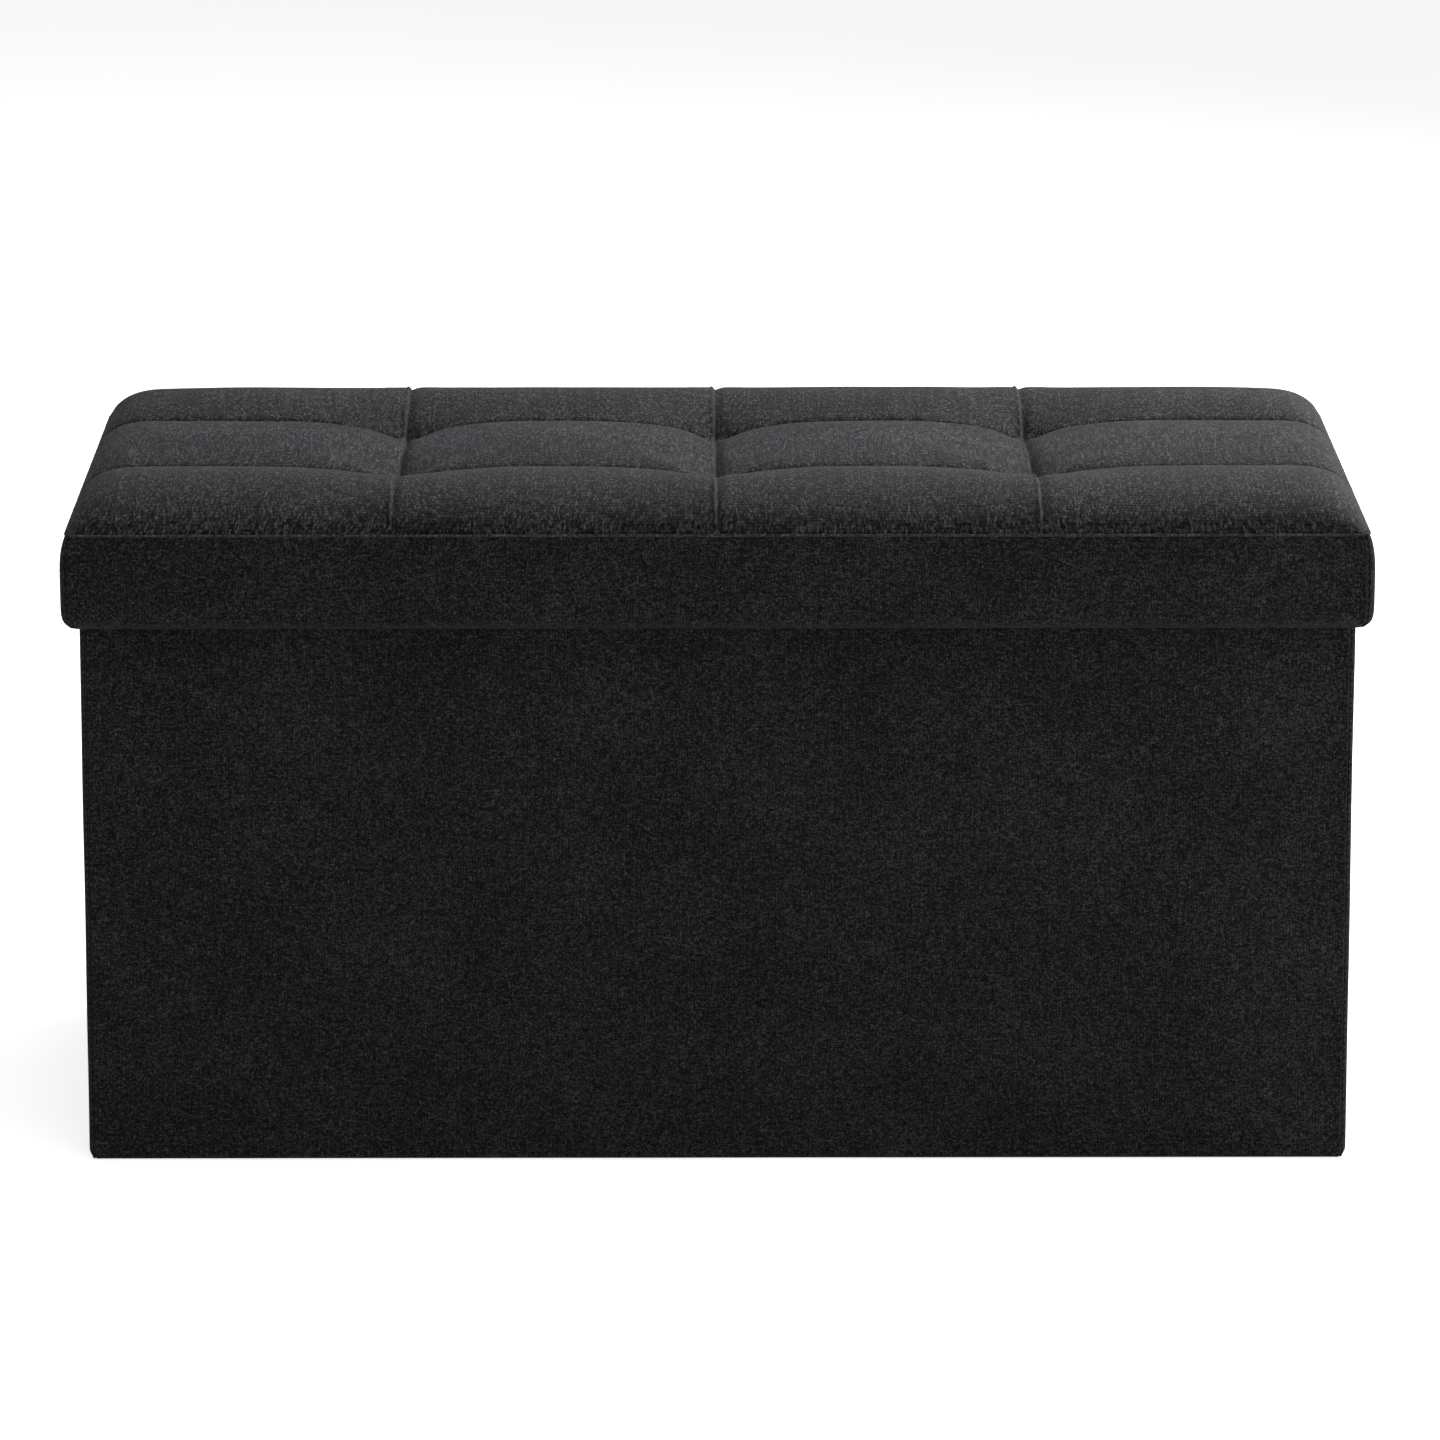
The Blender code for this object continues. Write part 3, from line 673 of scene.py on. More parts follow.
def smooth_sample(values, from_columns, from_rows, columns, rows):
    """Values on one grid of lines, resampled smoothly on another."""

    def along(grid, old, new):
        slope = np.gradient(grid, old, axis=0)
        index = np.clip(np.searchsorted(old, new) - 1, 0, len(old) - 2)
        width = (old[index + 1] - old[index])[:, None]
        share = (new - old[index])[:, None] / width
        start, end = grid[index], grid[index + 1]
        start_slope, end_slope = slope[index] * width, slope[index + 1] * width
        return (
            start * (2 * share**3 - 3 * share**2 + 1)
            + start_slope * (share**3 - 2 * share**2 + share)
            + end * (3 * share**2 - 2 * share**3)
            + end_slope * (share**3 - share**2)
        )

    return along(along(values, from_rows, rows).T, from_columns, columns).T


def patch_lines(half, seams, counts):
    stops = [-half, *seams, half]
    runs = [cosine_lines(a, b, n) for a, b, n in zip(stops, stops[1:], counts)]
    return joined(*runs)


def straight_patch_lines(half, seams, count):
    stops = [-half, *seams, half]
    return joined(*[np.linspace(a, b, count + 1) for a, b in zip(stops, stops[1:])])


def stitched_groove(distance, near_width, far_width, depth):
    """Depth of a sewn valley, steeper on one side of its stitch line than on the other."""
    width = np.where(distance < 0, near_width, far_width)
    return depth * np.exp(-np.abs(distance / width) ** 1.5)


def surface_place(x, y, z):
    """Position on the cloth, measured along its surface both ways."""
    along_x = np.cumsum(np.hypot(np.diff(x, axis=1), np.diff(z, axis=1)), axis=1)
    along_y = np.cumsum(np.hypot(np.diff(y, axis=0), np.diff(z, axis=0)), axis=0)
    u = np.pad(along_x, ((0, 0), (1, 0)))
    v = np.pad(along_y, ((1, 0), (0, 0)))
    middle_u, middle_v = x.shape[1] // 2, y.shape[0] // 2
    return np.stack([u - u[:, middle_u : middle_u + 1], v - v[middle_v : middle_v + 1]], axis=2)


def build_quilted_top(material):
    sim_columns = straight_patch_lines(HALF_TOP_X, SEAMS_X, 27)
    sim_rows = straight_patch_lines(HALF_TOP_Y, SEAMS_Y, 19)
    swell = patch_swell(sim_columns, sim_rows)
    columns = patch_lines(HALF_TOP_X, SEAMS_X, [72] * 4)
    rows = patch_lines(HALF_TOP_Y, SEAMS_Y, [44] * 3)
    x, y = np.meshgrid(columns, rows)
    cover = envelope(x, y)
    swell = smooth_sample(swell, sim_columns, sim_rows, columns, rows)
    z = EDGE_Z + quilt_height(x, y) + cover * swell
    sewn = np.minimum(cover * 3, 1.0)
    for seam in SEAMS_Y:
        z = z - sewn * stitched_groove(y - seam, *LONG_GROOVE)
    for seam in SEAMS_X:
        depth = CROSS_GROOVE_DEPTH + CROSS_GROOVE_DEPTH * valley(y, 100 * MM, 4)
        z = z - sewn * stitched_groove(x - seam, *CROSS_GROOVE, depth)
        z = z + sewn * CROSS_RIDGE_HEIGHT * bump(x - seam + CROSS_RIDGE_OFFSET, 1.0 * MM)
    z = z + cover * ripple(x, y, z, 0.035, 0.35 * MM)
    border = np.minimum(HALF_TOP_X - np.abs(x), HALF_TOP_Y - np.abs(y))
    place = surface_place(x, y, z)
    z = z - 0.5 * MM * bump(border - 2.6 * MM, 1.0 * MM)
    bow = SEAM_BOW * (1 - valley(nearest(x, SEAMS_X), 45 * MM, 2))
    bowed_y = y + np.sign(y) * bow * valley(nearest(y, SEAMS_Y), 32 * MM, 2.5)
    plan_x, plan_y = round_corner(x, bowed_y, HALF_TOP_X, HALF_TOP_Y, PLAN_RADIUS)
    points = np.stack([plan_x, plan_y, z], axis=2)
    top = sheet_object("quilted_top", points, place, material, (0, 0, 1), CLOTH_THICKNESS)
    stand_in(top, "lid", "top_cover")


def build_edge_welt(material):
    """Thin seam allowance that stands up where the top cloth is sewn to the skirt, in a lighter
    linen that paints a highlight along the edge.
    """
    half_x, half_y = HALF_TOP_X + 0.4 * MM, HALF_TOP_Y + 0.4 * MM
    path, corner = [], PLAN_RADIUS
    runs = (((1, -1), -math.pi / 2), ((1, 1), 0.0), ((-1, 1), math.pi / 2), ((-1, -1), math.pi))
    for (sign_x, sign_y), turn in runs:
        centre = (sign_x * (half_x - corner), sign_y * (half_y - corner))
        for angle in np.linspace(turn, turn + math.pi / 2, 13):
            x, y = centre[0] + corner * math.cos(angle), centre[1] + corner * math.sin(angle)
            path.append((x, y))
    dense = []
    for (x0, y0), (x1, y1) in zip(path, path[1:] + path[:1]):
        count = max(1, round(math.hypot(x1 - x0, y1 - y0) / WELT_STEP))
        dense += [(x0 + (x1 - x0) * i / count, y0 + (y1 - y0) * i / count) for i in range(count)]
    sides = 10
    points, place = [], []
    for index, (x, y) in enumerate(dense):
        (ax, ay), (bx, by) = dense[index - 1], dense[(index + 1) % len(dense)]
        length = math.hypot(bx - ax, by - ay)
        outward = ((by - ay) / length, (ax - bx) / length)
        radius = WELT_RADIUS * (1 + 0.25 * noise.noise(Vector((x, y, 0.0)) / (6 * MM)))
        for side in range(sides):
            angle = 2 * math.pi * side / sides
            across, up = radius * math.cos(angle), radius * math.sin(angle)
            z = EDGE_Z - 0.5 * MM + up
            points.append((x + outward[0] * across, y + outward[1] * across, z))
            place.append((index * WELT_STEP, side * 0.4 * MM))
    faces = ring_faces(len(dense), sides, closed=True)
    welt = mesh_object("edge_welt", points, faces, material, np.array(place))
    face_outwards(welt)
    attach(welt, "lid")


def build_foam(material):
    low, high = node_box("foam_pad")
    columns = patch_lines(float(high[0]), SEAMS_X, [20] * 4)
    rows = patch_lines(float(high[1]), SEAMS_Y, [16] * 3)
    x, y = np.meshgrid(columns, rows)
    below_cover = 3.2 * MM
    sewn = valley(nearest(x, SEAMS_X), 7 * MM, 2) + valley(nearest(y, SEAMS_Y), 7 * MM, 2)
    z = EDGE_Z - below_cover - 2.8 * MM * sewn + quilt_height(x, y)
    x, y = round_corner(x, y, float(high[0]), float(high[1]), PLAN_RADIUS - 3 * MM)
    points = np.stack([x, y, z], axis=2).reshape(-1, 3)
    obj = mesh_object("foam_core", points, grid_faces(len(rows), len(columns)), material)
    bm = bmesh.new()
    bm.from_mesh(obj.data)
    border = [edge for edge in bm.edges if edge.is_boundary]
    side = bmesh.ops.extrude_edge_only(bm, edges=border)["geom"]
    for item in side:
        if isinstance(item, bmesh.types.BMVert):
            item.co.z = low[2]
    rim = [item for item in side if isinstance(item, bmesh.types.BMEdge) and item.is_boundary]
    bmesh.ops.edgeloop_fill(bm, edges=rim)
    bmesh.ops.recalc_face_normals(bm, faces=bm.faces)
    bm.to_mesh(obj.data)
    bm.free()
    stand_in(obj, "lid", "foam_pad")


# ---- lid skirt
SKIRT_WIDEST_Z = 352.5 * MM
TOP_INSET = HALF_LID_X - HALF_TOP_X
RIM_INSET = 8.5 * MM
SKIRT_SEAM_FROM_EDGE = 2.9 * MM
SKIRT_STEPS = 40


def skirt_inset(z):
    """How far the skirt's padded face stands back from its widest line."""
    upper = TOP_INSET * (np.clip(z - SKIRT_WIDEST_Z, 0, None) / (EDGE_Z - SKIRT_WIDEST_Z)) ** 3
    lower = RIM_INSET * (np.clip(SKIRT_WIDEST_Z - z, 0, None) / (SKIRT_WIDEST_Z - RIM_Z)) ** 11
    return upper + lower


def skirt_section():
    """Closed section of the skirt as (inset, height), face first, back to the top."""
    top = EDGE_Z - 0.1 * MM
    face_z = cosine_lines(top, RIM_Z + 0.05 * MM, SKIRT_STEPS)
    face = [(float(skirt_inset(z)), float(z)) for z in face_z]
    inner = HALF_LID_X - float(rim_low[0]) + LINING_THICKNESS + GAP
    hem_top = WALL_TOP - 1 * MM
    back = HALF_LID_X - float(rim_high[0]) - GAP
    under = RIM_Z + CLOTH_THICKNESS
    lining = [
        (inner - 0.6 * MM, RIM_Z),
        (inner, RIM_Z + 0.5 * MM),
        (inner, (RIM_Z + hem_top) / 2),
        (inner, hem_top),
        (inner - LINING_THICKNESS, hem_top),
        (inner - LINING_THICKNESS, (under + hem_top) / 2),
        (inner - LINING_THICKNESS, under),
    ]
    inside = [(back, under), (back, float(skirt_high[2])), (TOP_INSET, float(skirt_high[2]))]
    return np.array(face + lining + inside)


def skirt_outline(side):
    """Outline points (x, y) of one strip: front and back run between the corner seams."""
    reach = HALF_LID_X - SKIRT_SEAM_FROM_EDGE
    if side in ("front", "back"):
        facing = -1 if side == "front" else 1
        return [(x, facing * HALF_LID_Y) for x in cosine_lines(-reach, reach, 140)]
    facing = -1 if side == "left" else 1
    wrap = np.linspace(reach, HALF_LID_X, 10)
    depth = cosine_lines(-HALF_LID_Y, HALF_LID_Y, 100)
    return side_outline(facing, wrap, depth, HALF_LID_X, HALF_LID_Y)


def tube_faces(rows, columns):
    """Faces of a tube whose section goes round the rows, with a cap at each end."""
    index = np.arange(rows * columns).reshape(rows, columns)
    below = np.roll(index, -1, axis=0)
    faces = np.stack(
        [index[:, :-1].ravel(), index[:, 1:].ravel(), below[:, 1:].ravel(), below[:, :-1].ravel()],
        axis=1,
    )
    return [tuple(face) for face in faces] + [tuple(index[:, 0]), tuple(index[::-1, -1])]


def build_skirt(side, material):
    section = skirt_section()
    outline = np.array(skirt_outline(side))
    inset = section[:, 0][:, None]
    half_x = HALF_LID_X - inset
    half_y = HALF_LID_Y - inset
    x, y = drawn_in(outline, inset, HALF_LID_X, HALF_LID_Y)
    radius = np.maximum(PLAN_RADIUS - inset, 1.0 * MM)
    facing_x, facing_y = facing_of(outline, HALF_LID_Y)
    from_edge = HALF_LID_X - np.abs(outline[:, 0])
    groove = 1.9 * MM * bump(from_edge - SKIRT_SEAM_FROM_EDGE, 0.8 * MM)
    ridge = 0.8 * MM * bump(from_edge - SKIRT_SEAM_FROM_EDGE - 1.8 * MM, 0.9 * MM)
    relief = np.where(facing_y != 0, ridge - groove, 0.0)
    x, y = round_corner(x, y, half_x, half_y, radius)
    z = np.repeat(section[:, 1][:, None], len(outline), axis=1)
    face_rows = np.zeros(len(section))
    face_rows[: SKIRT_STEPS + 1] = np.sin(np.linspace(0, math.pi, SKIRT_STEPS + 1)) ** 0.35
    push = face_rows[:, None] * (relief[None, :] + ripple(x, y, z, 0.05, 0.45 * MM))
    x = x + facing_x * push
    y = y + facing_y * push
    points = np.stack([x, y, z], axis=2)
    rows, columns = points.shape[:2]
    run = running(np.hypot(np.diff(outline[:, 0]), np.diff(outline[:, 1])))
    drop = running(np.hypot(*np.diff(section, axis=0).T))
    place = np.stack(np.broadcast_arrays(run[None, :], drop[:, None]), axis=2).reshape(-1, 2)
    faces = tube_faces(rows, columns)
    strip = mesh_object(f"{side}_skirt_pad", points.reshape(-1, 3), faces, material, place)
    face_outwards(strip)
    stand_in(strip, "lid", f"{side}_skirt")


# ---- stitches
STITCH_RADIUS = 0.32 * MM
STITCH_PITCH = 4.2 * MM
STITCH_LENGTH = 3.0 * MM


def stitch_mesh(name, stitches, material):
    """Short arched threads in one piece; each stitch is (start, end, outward)."""
    points, faces = [], []
    sides, steps = 6, 4
    for start, end, outward in stitches:
        start, end, outward = Vector(start), Vector(end), Vector(outward)
        along = (end - start).normalized()
        across = along.cross(outward).normalized()
        first = len(points)
        for step in range(steps + 1):
            share = step / steps
            arch = math.sin(math.pi * share)
            centre = start.lerp(end, share) + outward * (0.45 * MM * arch - 0.25 * MM)
            thick = STITCH_RADIUS * (0.45 + 0.55 * arch)
            for side in range(sides):
                angle = 2 * math.pi * side / sides
                offset = across * math.cos(angle) * thick + outward * math.sin(angle) * thick
                points.append(centre + offset)
        faces += ring_faces(steps + 1, sides, first=first)
        last = first + steps * sides
        faces.append(tuple(range(first, first + sides))[::-1])
        faces.append(tuple(range(last, last + sides)))
    obj = mesh_object(name, points, faces, material)
    face_outwards(obj)
    return obj


def lid_seam_point(sign_x, facing, z):
    """Point at the bottom of the skirt's corner seam at that height."""
    inset = float(skirt_inset(z))
    x = (HALF_LID_X - SKIRT_SEAM_FROM_EDGE) * (HALF_LID_X - inset) / HALF_LID_X
    half_x, half_y = HALF_LID_X - inset, HALF_LID_Y - inset
    radius = max(PLAN_RADIUS - inset, 1.0 * MM)
    u, v = round_corner(np.array(x), np.array(half_y), half_x, half_y, radius)
    return (sign_x * float(u), facing * (float(v) - 0.7 * MM), z)


def build_stitches(material):
    body, lid = [], []
    for sign_x in (-1, 1):
        for facing in (-1, 1):
            x = sign_x * (HALF_BODY_X - SEAM_FROM_EDGE)
            y = facing * (HALF_BODY_Y - 0.75 * MM)
            for start in np.arange(7 * MM, WALL_TOP - 6 * MM, STITCH_PITCH):
                body.append(((x, y, start), (x, y, start + STITCH_LENGTH), (0, facing, 0)))
            for start in np.arange(RIM_Z + 4 * MM, EDGE_Z - 5 * MM, STITCH_PITCH):
                ends = [lid_seam_point(sign_x, facing, z) for z in (start, start + STITCH_LENGTH)]
                lid.append((*ends, (0, facing, 0)))
    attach(stitch_mesh("box_corner_stitches", body, material), "box")
    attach(stitch_mesh("lid_corner_stitches", lid, material), "lid")


# ---- linings and base
BOTTOM_GROWTH = 1.1 * MM


def lining_sheet(name, node, body, face, material, rests_on, grow=0.0):
    """Stretched lining on the face (axis, direction) of a CAD sheet, a little uneven.

    grow widens it each way, where the CAD sheet's edge would show as a gap.
    """
    low, high = node_box(node)
    axis, direction = face
    across = [index for index in range(3) if index != axis]
    low[across] -= grow
    high[across] += grow
    lines = [cosine_lines(float(low[i]), float(high[i]), 48) for i in across]
    u, v = np.meshgrid(*lines)
    points = np.zeros((*u.shape, 3))
    points[:, :, across[0]] = u
    points[:, :, across[1]] = v
    outer = high[axis] if direction > 0 else low[axis]
    edge_u = np.minimum(u - low[across[0]], high[across[0]] - u)
    edge = np.minimum(edge_u, np.minimum(v - low[across[1]], high[across[1]] - v))
    calm = np.clip(edge / (15 * MM), 0.0, 1.0)
    points[:, :, axis] = outer + direction * calm * ripple(u, v, 0 * u, 0.06, 0.15 * MM)
    outward = np.zeros(3)
    outward[axis] = direction
    thickness = float(high[axis] - low[axis])
    sheet = sheet_object(name, points, np.stack([u, v], axis=2), material, outward, thickness)
    stand_in(sheet, body, node)


def build_linings(material):
    walls = {
        "front": ((1, 1), "front_board"),
        "back": ((1, -1), "back_board"),
        "left": ((0, 1), "left_front_board"),
        "right": ((0, -1), "right_front_board"),
    }
    for side, (face, board) in walls.items():
        lining_sheet(f"{side}_lining_cloth", f"{side}_lining", "box", face, material, board)
    under = ("bottom_lining_cloth", "bottom_cloth", "box", (2, 1), material, "front_board")
    lining_sheet(*under, grow=BOTTOM_GROWTH)
    lining_sheet("lid_lining_cloth", "lid_lining", "lid", (2, -1), material, "lid_board")


def fold_over(length, half, radius):
    """Place of a point that far along cloth folded over an edge: (across, drop)."""
    past = np.clip(np.abs(length) - (half - radius), 0.0, None)
    turn = np.minimum(past / radius, math.pi / 2)
    straight = np.clip(past - radius * math.pi / 2, 0.0, None)
    across = np.minimum(np.abs(length), half - radius) + radius * np.sin(turn)
    return np.sign(length) * across, radius * (1 - np.cos(turn)) + straight


def build_base_wrap(material):
    """Lining cloth folded down over the base board's edges."""
    low, high = node_box("base_wrap")
    half_x, half_y, height = float(high[0]), float(high[1]), float(high[2] - low[2])
    radius = 2.5 * MM
    reach = height - radius + radius * math.pi / 2
    lines = []
    for half, count in ((half_x, 90), (half_y, 50)):
        fold = np.linspace(0.0, reach, 13)
        flat = np.linspace(-(half - radius), half - radius, count)
        lines.append(joined(flat[0] - fold[::-1], flat, flat[-1] + fold))
    u, v = np.meshgrid(*lines)
    x, drop_x = fold_over(u, half_x, radius)
    y, drop_y = fold_over(v, half_y, radius)
    calm = np.clip((half_x - np.abs(u)) / (20 * MM), 0, 1)
    calm = calm * np.clip((half_y - np.abs(v)) / (20 * MM), 0, 1)
    wave = calm * ripple(u, v, 0 * u, 0.07, 0.12 * MM)
    z = float(high[2]) - 0.1 * MM - np.maximum(drop_x, drop_y) + wave
    points = np.stack([x, y, np.maximum(z, low[2])], axis=2)
    place = np.stack([u, v], axis=2)
    wrap = sheet_object("base_wrap_cloth", points, place, material, (0, 0, 1), BASE_CLOTH)
    stand_in(wrap, "base", "base_wrap")
    flat = (2 * (half_x + height), 2 * (half_y + height))


# ---- divider and pull tab
def tube_points(path, radius, sides, closed):
    """Rings of points round a path, with their faces; open ends are closed flat."""
    path = [Vector(point) for point in path]
    count = len(path)
    points = []
    for index, centre in enumerate(path):
        before = path[index - 1] if closed or index else path[index]
        after = path[(index + 1) % count] if closed or index + 1 < count else path[index]
        along = (after - before).normalized()
        across = along.cross(Vector((1.0, 0.0, 0.0))).normalized()
        upward = across.cross(along)
        for side in range(sides):
            angle = 2 * math.pi * side / sides
            points.append(centre + radius * (across * math.cos(angle) + upward * math.sin(angle)))
    faces = ring_faces(count, sides, closed)
    if not closed:
        faces += end_caps(count, sides)
    return points, faces


def weld_bead(centre, radius, flat):
    """Small flattened bead where two wires are welded."""
    points = []
    rings, sides = 6, 12
    for ring in range(1, rings):
        tilt = math.pi * ring / rings
        for side in range(sides):
            turn = 2 * math.pi * side / sides
            round_y, round_z = math.sin(tilt) * math.cos(turn), math.sin(tilt) * math.sin(turn)
            offset = Vector((math.cos(tilt) * flat, round_y, round_z))
            points.append(Vector(centre) + radius * offset)
    return points, ring_faces(rings - 1, sides) + end_caps(rings - 1, sides)


def joined_mesh(name, pieces, material):
    points, faces = [], []
    for piece_points, piece_faces in pieces:
        first = len(points)
        points += piece_points
        faces += [tuple(index + first for index in face) for face in piece_faces]
    obj = mesh_object(name, points, faces, material)
    face_outwards(obj)
    obj.data.set_sharp_from_angle(angle=math.radians(50))
    return obj


def build_divider(material):
    """Welded grid: a rounded frame, five uprights on one side and five crossbars on the other."""
    low, high = node_box("divider_grid")
    frame_radius, rod_radius, corner = 2.5 * MM, 1.75 * MM, 12 * MM
    half_y = float(high[1]) - frame_radius
    low_z, high_z = float(low[2]) + frame_radius, float(high[2]) - frame_radius
    ring = []
    for turn in range(4):
        sign_y = (1, -1, -1, 1)[turn]
        centre_z = (high_z - corner, high_z - corner, low_z + corner, low_z + corner)[turn]
        for step in range(13):
            angle = math.pi / 2 * (turn + step / 12)
            y = sign_y * (half_y - corner) + corner * math.cos(angle)
            ring.append((0.0, y, centre_z + corner * math.sin(angle)))
    pieces = [tube_points(ring, frame_radius, 16, True)]
    rod_x = 0.9 * MM
    uprights = [-half_y + 2 * half_y * step / 6 for step in range(1, 6)]
    crossbars = [low_z + (high_z - low_z) * step / 6 for step in range(1, 6)]
    for y in uprights:
        path = [(-rod_x, y, z) for z in np.linspace(low_z, high_z, 25)]
        pieces.append(tube_points(path, rod_radius, 12, False))
        pieces += [weld_bead((-rod_x, y, z), 2.9 * MM, 0.9) for z in (low_z, high_z)]
    for z in crossbars:
        path = [(rod_x, y, z) for y in np.linspace(-half_y, half_y, 25)]
        pieces.append(tube_points(path, rod_radius, 12, False))
        pieces += [weld_bead((rod_x, y, z), 2.9 * MM, 0.9) for y in (-half_y, half_y)]
        pieces += [weld_bead((0.0, y, z), 2.3 * MM, 0.8) for y in uprights]
    grid = joined_mesh("wire_divider", pieces, material)
    stand_in(grid, "divider", "divider_grid")


def build_pull_tab(webbing, thread):
    """Loop of tape lying flat, its two ends sewn together under a stitched box."""
    low, high = node_box("pull_tab")
    x, width = float(low[0] + high[0]) / 2, float(high[0] - low[0])
    start, end, floor_z = float(low[1]), float(high[1]), float(low[2])
    tape = 1.05 * MM
    eye = 0.55 * MM
    spine = []
    for y in np.linspace(start, end - 4 * MM, 40):
        open_up = eye * max(0.0, (y - start - 24 * MM) / (end - start - 24 * MM))
        spine.append((y, tape / 2 + 0.05 * MM, open_up))
    lower = [(y, z) for y, z, _ in spine]
    upper = [(y, 1.5 * tape + 0.15 * MM + lift) for y, _, lift in spine][::-1]
    middle = (lower[-1][1] + upper[0][1]) / 2
    bend = (upper[0][1] - lower[-1][1]) / 2
    turn = [
        (lower[-1][0] + 4 * MM * math.sin(angle), middle - bend * math.cos(angle))
        for angle in np.linspace(0, math.pi, 13)[1:-1]
    ]
    path = np.array(lower + turn + upper)
    slope = np.gradient(path, axis=0)
    slope /= np.linalg.norm(slope, axis=1, keepdims=True)
    normal = np.stack([-slope[:, 1], slope[:, 0]], axis=1)
    across = np.linspace(-1, 1, 15)
    thick = tape / 2 * (1 - 0.45 * np.abs(across) ** 8)
    outer = np.stack([across, thick], axis=1)
    inner = np.stack([across[::-1], -thick[::-1]], axis=1)
    section = np.concatenate([outer, inner])
    points = [
        (x + width / 2 * u, y + n[0] * t, floor_z + z + n[1] * t)
        for (y, z), n in zip(path, normal)
        for u, t in section
    ]
    sides, count = len(section), len(path)
    index = np.arange(count * sides).reshape(count, sides)
    ahead = np.roll(index, -1, axis=1)
    faces = [
        tuple(quad)
        for quad in np.stack([index[:-1], ahead[:-1], ahead[1:], index[1:]], axis=2).reshape(-1, 4)
    ]
    faces += [tuple(index[0]), tuple(index[-1][::-1])]
    tab = mesh_object("pull_tab_loop", points, faces, webbing)
    face_outwards(tab)
    stand_in(tab, "tab", "pull_tab")
    top = floor_z + 2 * tape + 0.2 * MM
    near, far, side = start + 3 * MM, start + 21 * MM, width / 2 - 2.5 * MM
    corners = [(x - side, near), (x + side, near), (x + side, far), (x - side, far)]
    runs = [(corners[i], corners[(i + 1) % 4]) for i in range(4)]
    runs += [(corners[0], corners[2]), (corners[1], corners[3])]
    stitches = []
    for first, last in runs:
        first, last = Vector((*first, top)), Vector((*last, top))
        count = round((last - first).length / (2.6 * MM))
        for step in range(count):
            ends = [first.lerp(last, (step + share) / count) for share in (0.12, 0.88)]
            stitches.append((*ends, (0, 0, 1)))
    box_stitch = stitch_mesh("tab_box_stitch", stitches, thread)
    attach(box_stitch, "tab")


# ---- stage
CAMERA_LENS = 189.95
CAMERA_PLACE = (-0.0208, -4.479, 1.2691)
LOOK_DOWN = 13.144
LOOK_ASIDE = -0.295
# name, place, the point it faces, size, and power in watts
LIGHTS = (
    ("key", (1.7, 1.7, 1.75), (0, 0, 0.35), (1.4, 1.4), 100),
    ("overhead", (-0.2, 1.5, 2.6), (0, 0, 0.35), (2.4, 1.2), 15),
    ("front_top", (0.3, -1.1, 3.0), (0, -0.1, 0.35), (1.6, 1.0), 16),
    ("side", (3.2, -0.5, 1.0), (0, 0, 0.25), (0.6, 1.2), 22),
    ("front", (0.6, -3.8, 2.4), (0, 0, 0.2), (2.2, 1.0), 17),
)


def build_floor():
    bpy.ops.mesh.primitive_plane_add(size=14.0, location=(0, 0, -0.2 * MM))
    floor = bpy.context.active_object
    floor.name = "studio_floor"
    floor.data.materials.append(floor_material())


def build_camera():
    data = bpy.data.cameras.new("camera")
    data.sensor_width = 36.0
    data.lens = CAMERA_LENS
    data.clip_end = 50.0
    camera = linked("camera", data)
    camera.location = CAMERA_PLACE
    camera.rotation_euler = (math.radians(90 - LOOK_DOWN), 0.0, math.radians(LOOK_ASIDE))
    bpy.context.scene.camera = camera


def area_light(name, location, target, size, power):
    data = bpy.data.lights.new(name, "AREA")
    data.shape = "RECTANGLE"
    data.size, data.size_y = size
    data.energy = power
    light = linked(name, data)
    light.location = location
    direction = Vector(target) - Vector(location)
    light.rotation_euler = direction.to_track_quat("-Z", "Y").to_euler()


def build_lights():
    for light in LIGHTS:
        area_light(*light)
    world = bpy.data.worlds.new("studio")
    bpy.context.scene.world = world
    world.use_nodes = True
    tree = world.node_tree
    background = tree.nodes["Background"]
    background.inputs["Color"].default_value = (1.0, 1.0, 1.0, 1.0)
    path = tree.nodes.new("ShaderNodeLightPath")
    strength = tree.nodes.new("ShaderNodeMapRange")
    strength.inputs["To Min"].default_value = 0.22
    strength.inputs["To Max"].default_value = 1.0
    tree.links.new(path.outputs["Is Camera Ray"], strength.inputs["Value"])
    tree.links.new(strength.outputs[0], background.inputs["Strength"])
    bpy.context.scene.view_settings.view_transform = "Standard"


# ---- build
build_camera()
build_lights()
build_floor()

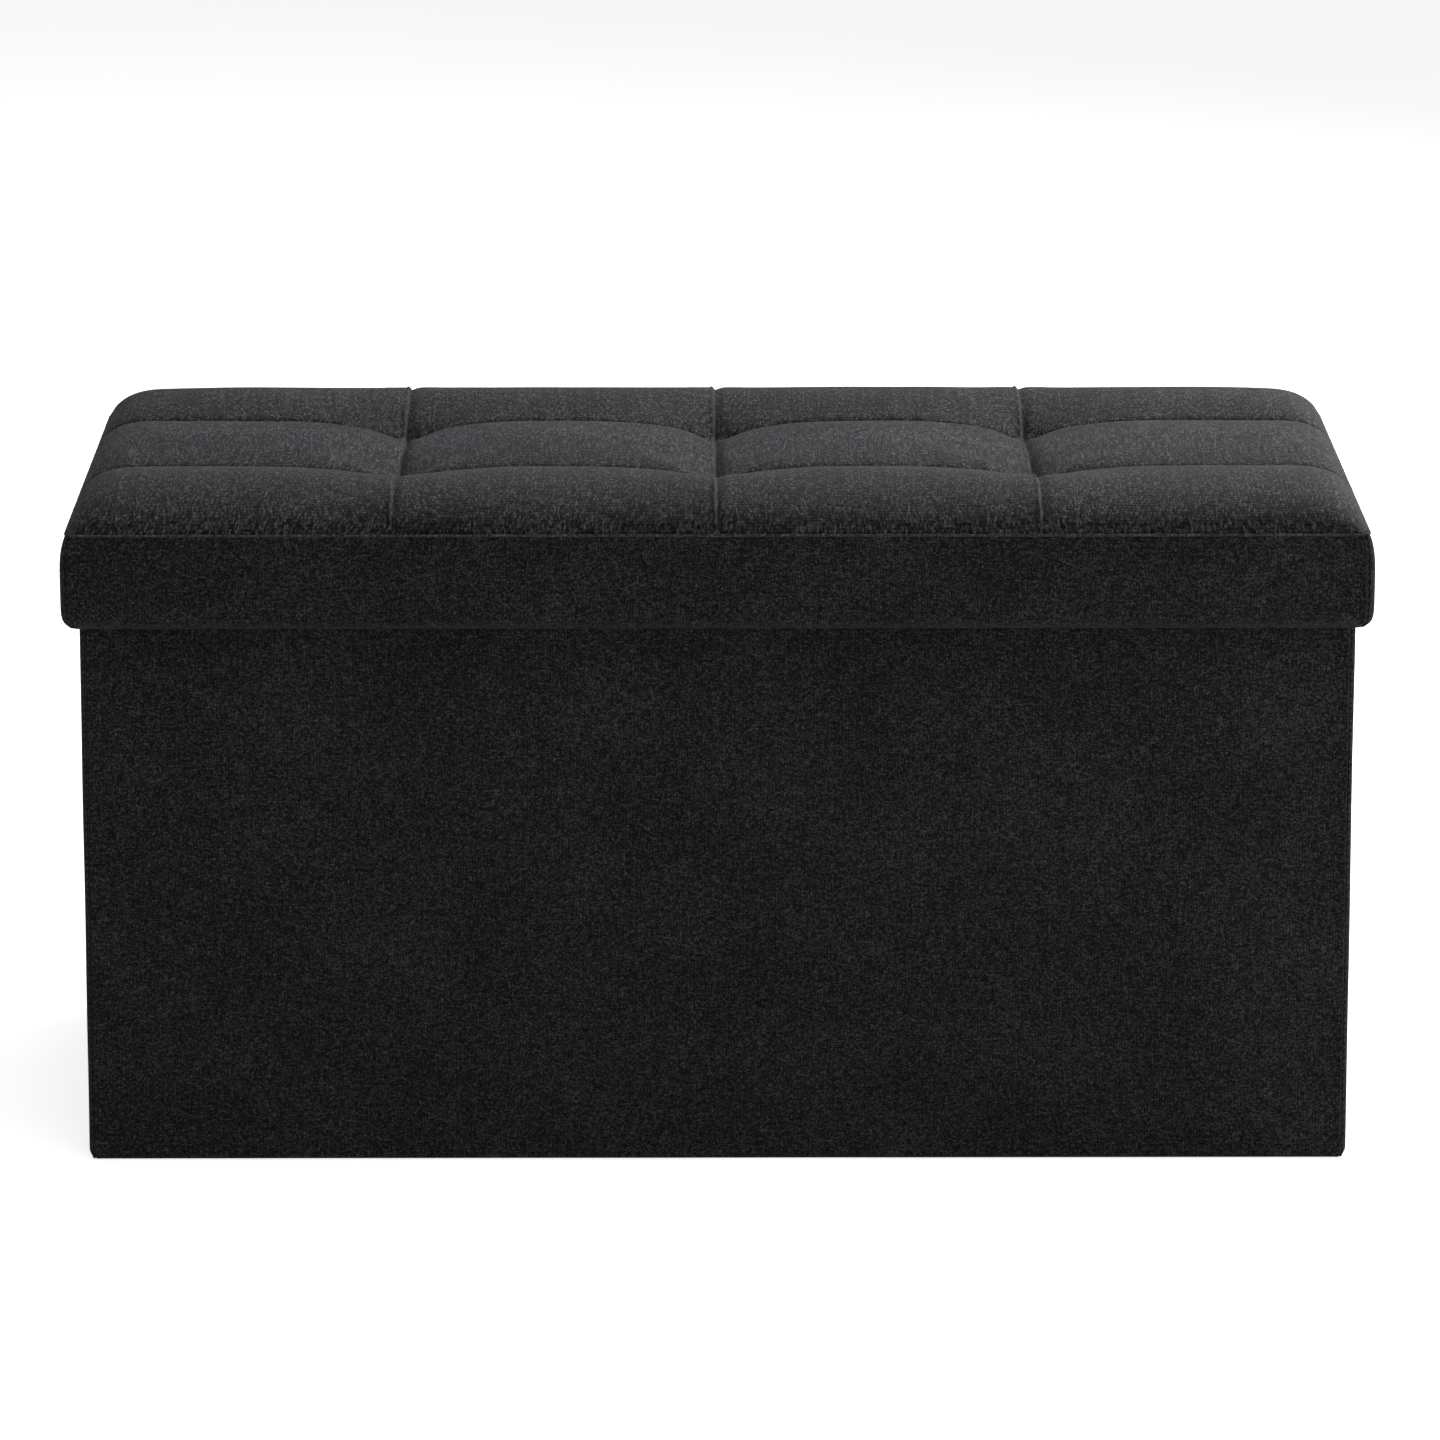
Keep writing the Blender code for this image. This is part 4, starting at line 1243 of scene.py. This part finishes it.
# Same linen as the sides and skirt, given a lighter tone on the top: painted top light, the top
# painted brighter than the sides because of how light falls on it.
LINEN_TOP_PAINTED_BRIGHTER = linen_material(
    "linen_top_painted_brighter",
    dark=(0.0006, 0.0006, 0.0007),
    light=(0.113, 0.113, 0.120),
    pitch=(0.95 * MM, 2.6 * MM),
    knot_pitch=(0.95 * MM, 2.3 * MM),
    slub_share=(0.08, 0.03),
    relief=0.22 * MM,
    contrast=2.7,
)
LINEN_FACE = linen_material(
    "linen_face",
    dark=(0.0006, 0.0006, 0.0007),
    light=(0.070, 0.070, 0.0735),
    pitch=(1.7 * MM, 0.8 * MM),
    knot_pitch=(0.85 * MM, 0.85 * MM),
    slub_share=(0.12, 0.10),
    relief=0.3 * MM,
    contrast=2.7,
)
# Lighter copy of the linen for the edge welt: painted highlight, a thin light line along the edge
# seam.
LINEN_WELT_PAINTED_HIGHLIGHT = linen_material(
    "linen_welt_painted_highlight",
    dark=(0.012, 0.012, 0.013),
    light=(0.13, 0.13, 0.137),
    pitch=(2.4 * MM, 1.2 * MM),
    knot_pitch=(0.85 * MM, 0.85 * MM),
    slub_share=(0.12, 0.10),
    relief=0.2 * MM,
    contrast=2.0,
)
LINING = nonwoven_material()
TWINE = twine_material()

build_front_and_back(LINEN_FACE)
build_sides(LINEN_FACE)
build_quilted_top(LINEN_TOP_PAINTED_BRIGHTER)
build_edge_welt(LINEN_WELT_PAINTED_HIGHLIGHT)
for skirt_side in ("front", "back", "left", "right"):
    build_skirt(skirt_side, LINEN_FACE)
build_foam(foam_material())
build_stitches(TWINE)
build_linings(LINING)
build_base_wrap(LINING)
build_divider(coated_wire_material())
build_pull_tab(webbing_material(), TWINE)

CAD_MATERIALS = {
    "fibreboard": fibreboard_material(),
    "twine": TWINE,
}
slots = {part["node"]: part["material_slot"] for part in frame["record"]["subparts"]}
for node_name, node_object in frame["nodes"].items():
    slot_name = slots[node_name]
    if node_object.hide_render or slot_name not in CAD_MATERIALS:
        continue
    node_object.data.materials.clear()
    node_object.data.materials.append(CAD_MATERIALS[slot_name])
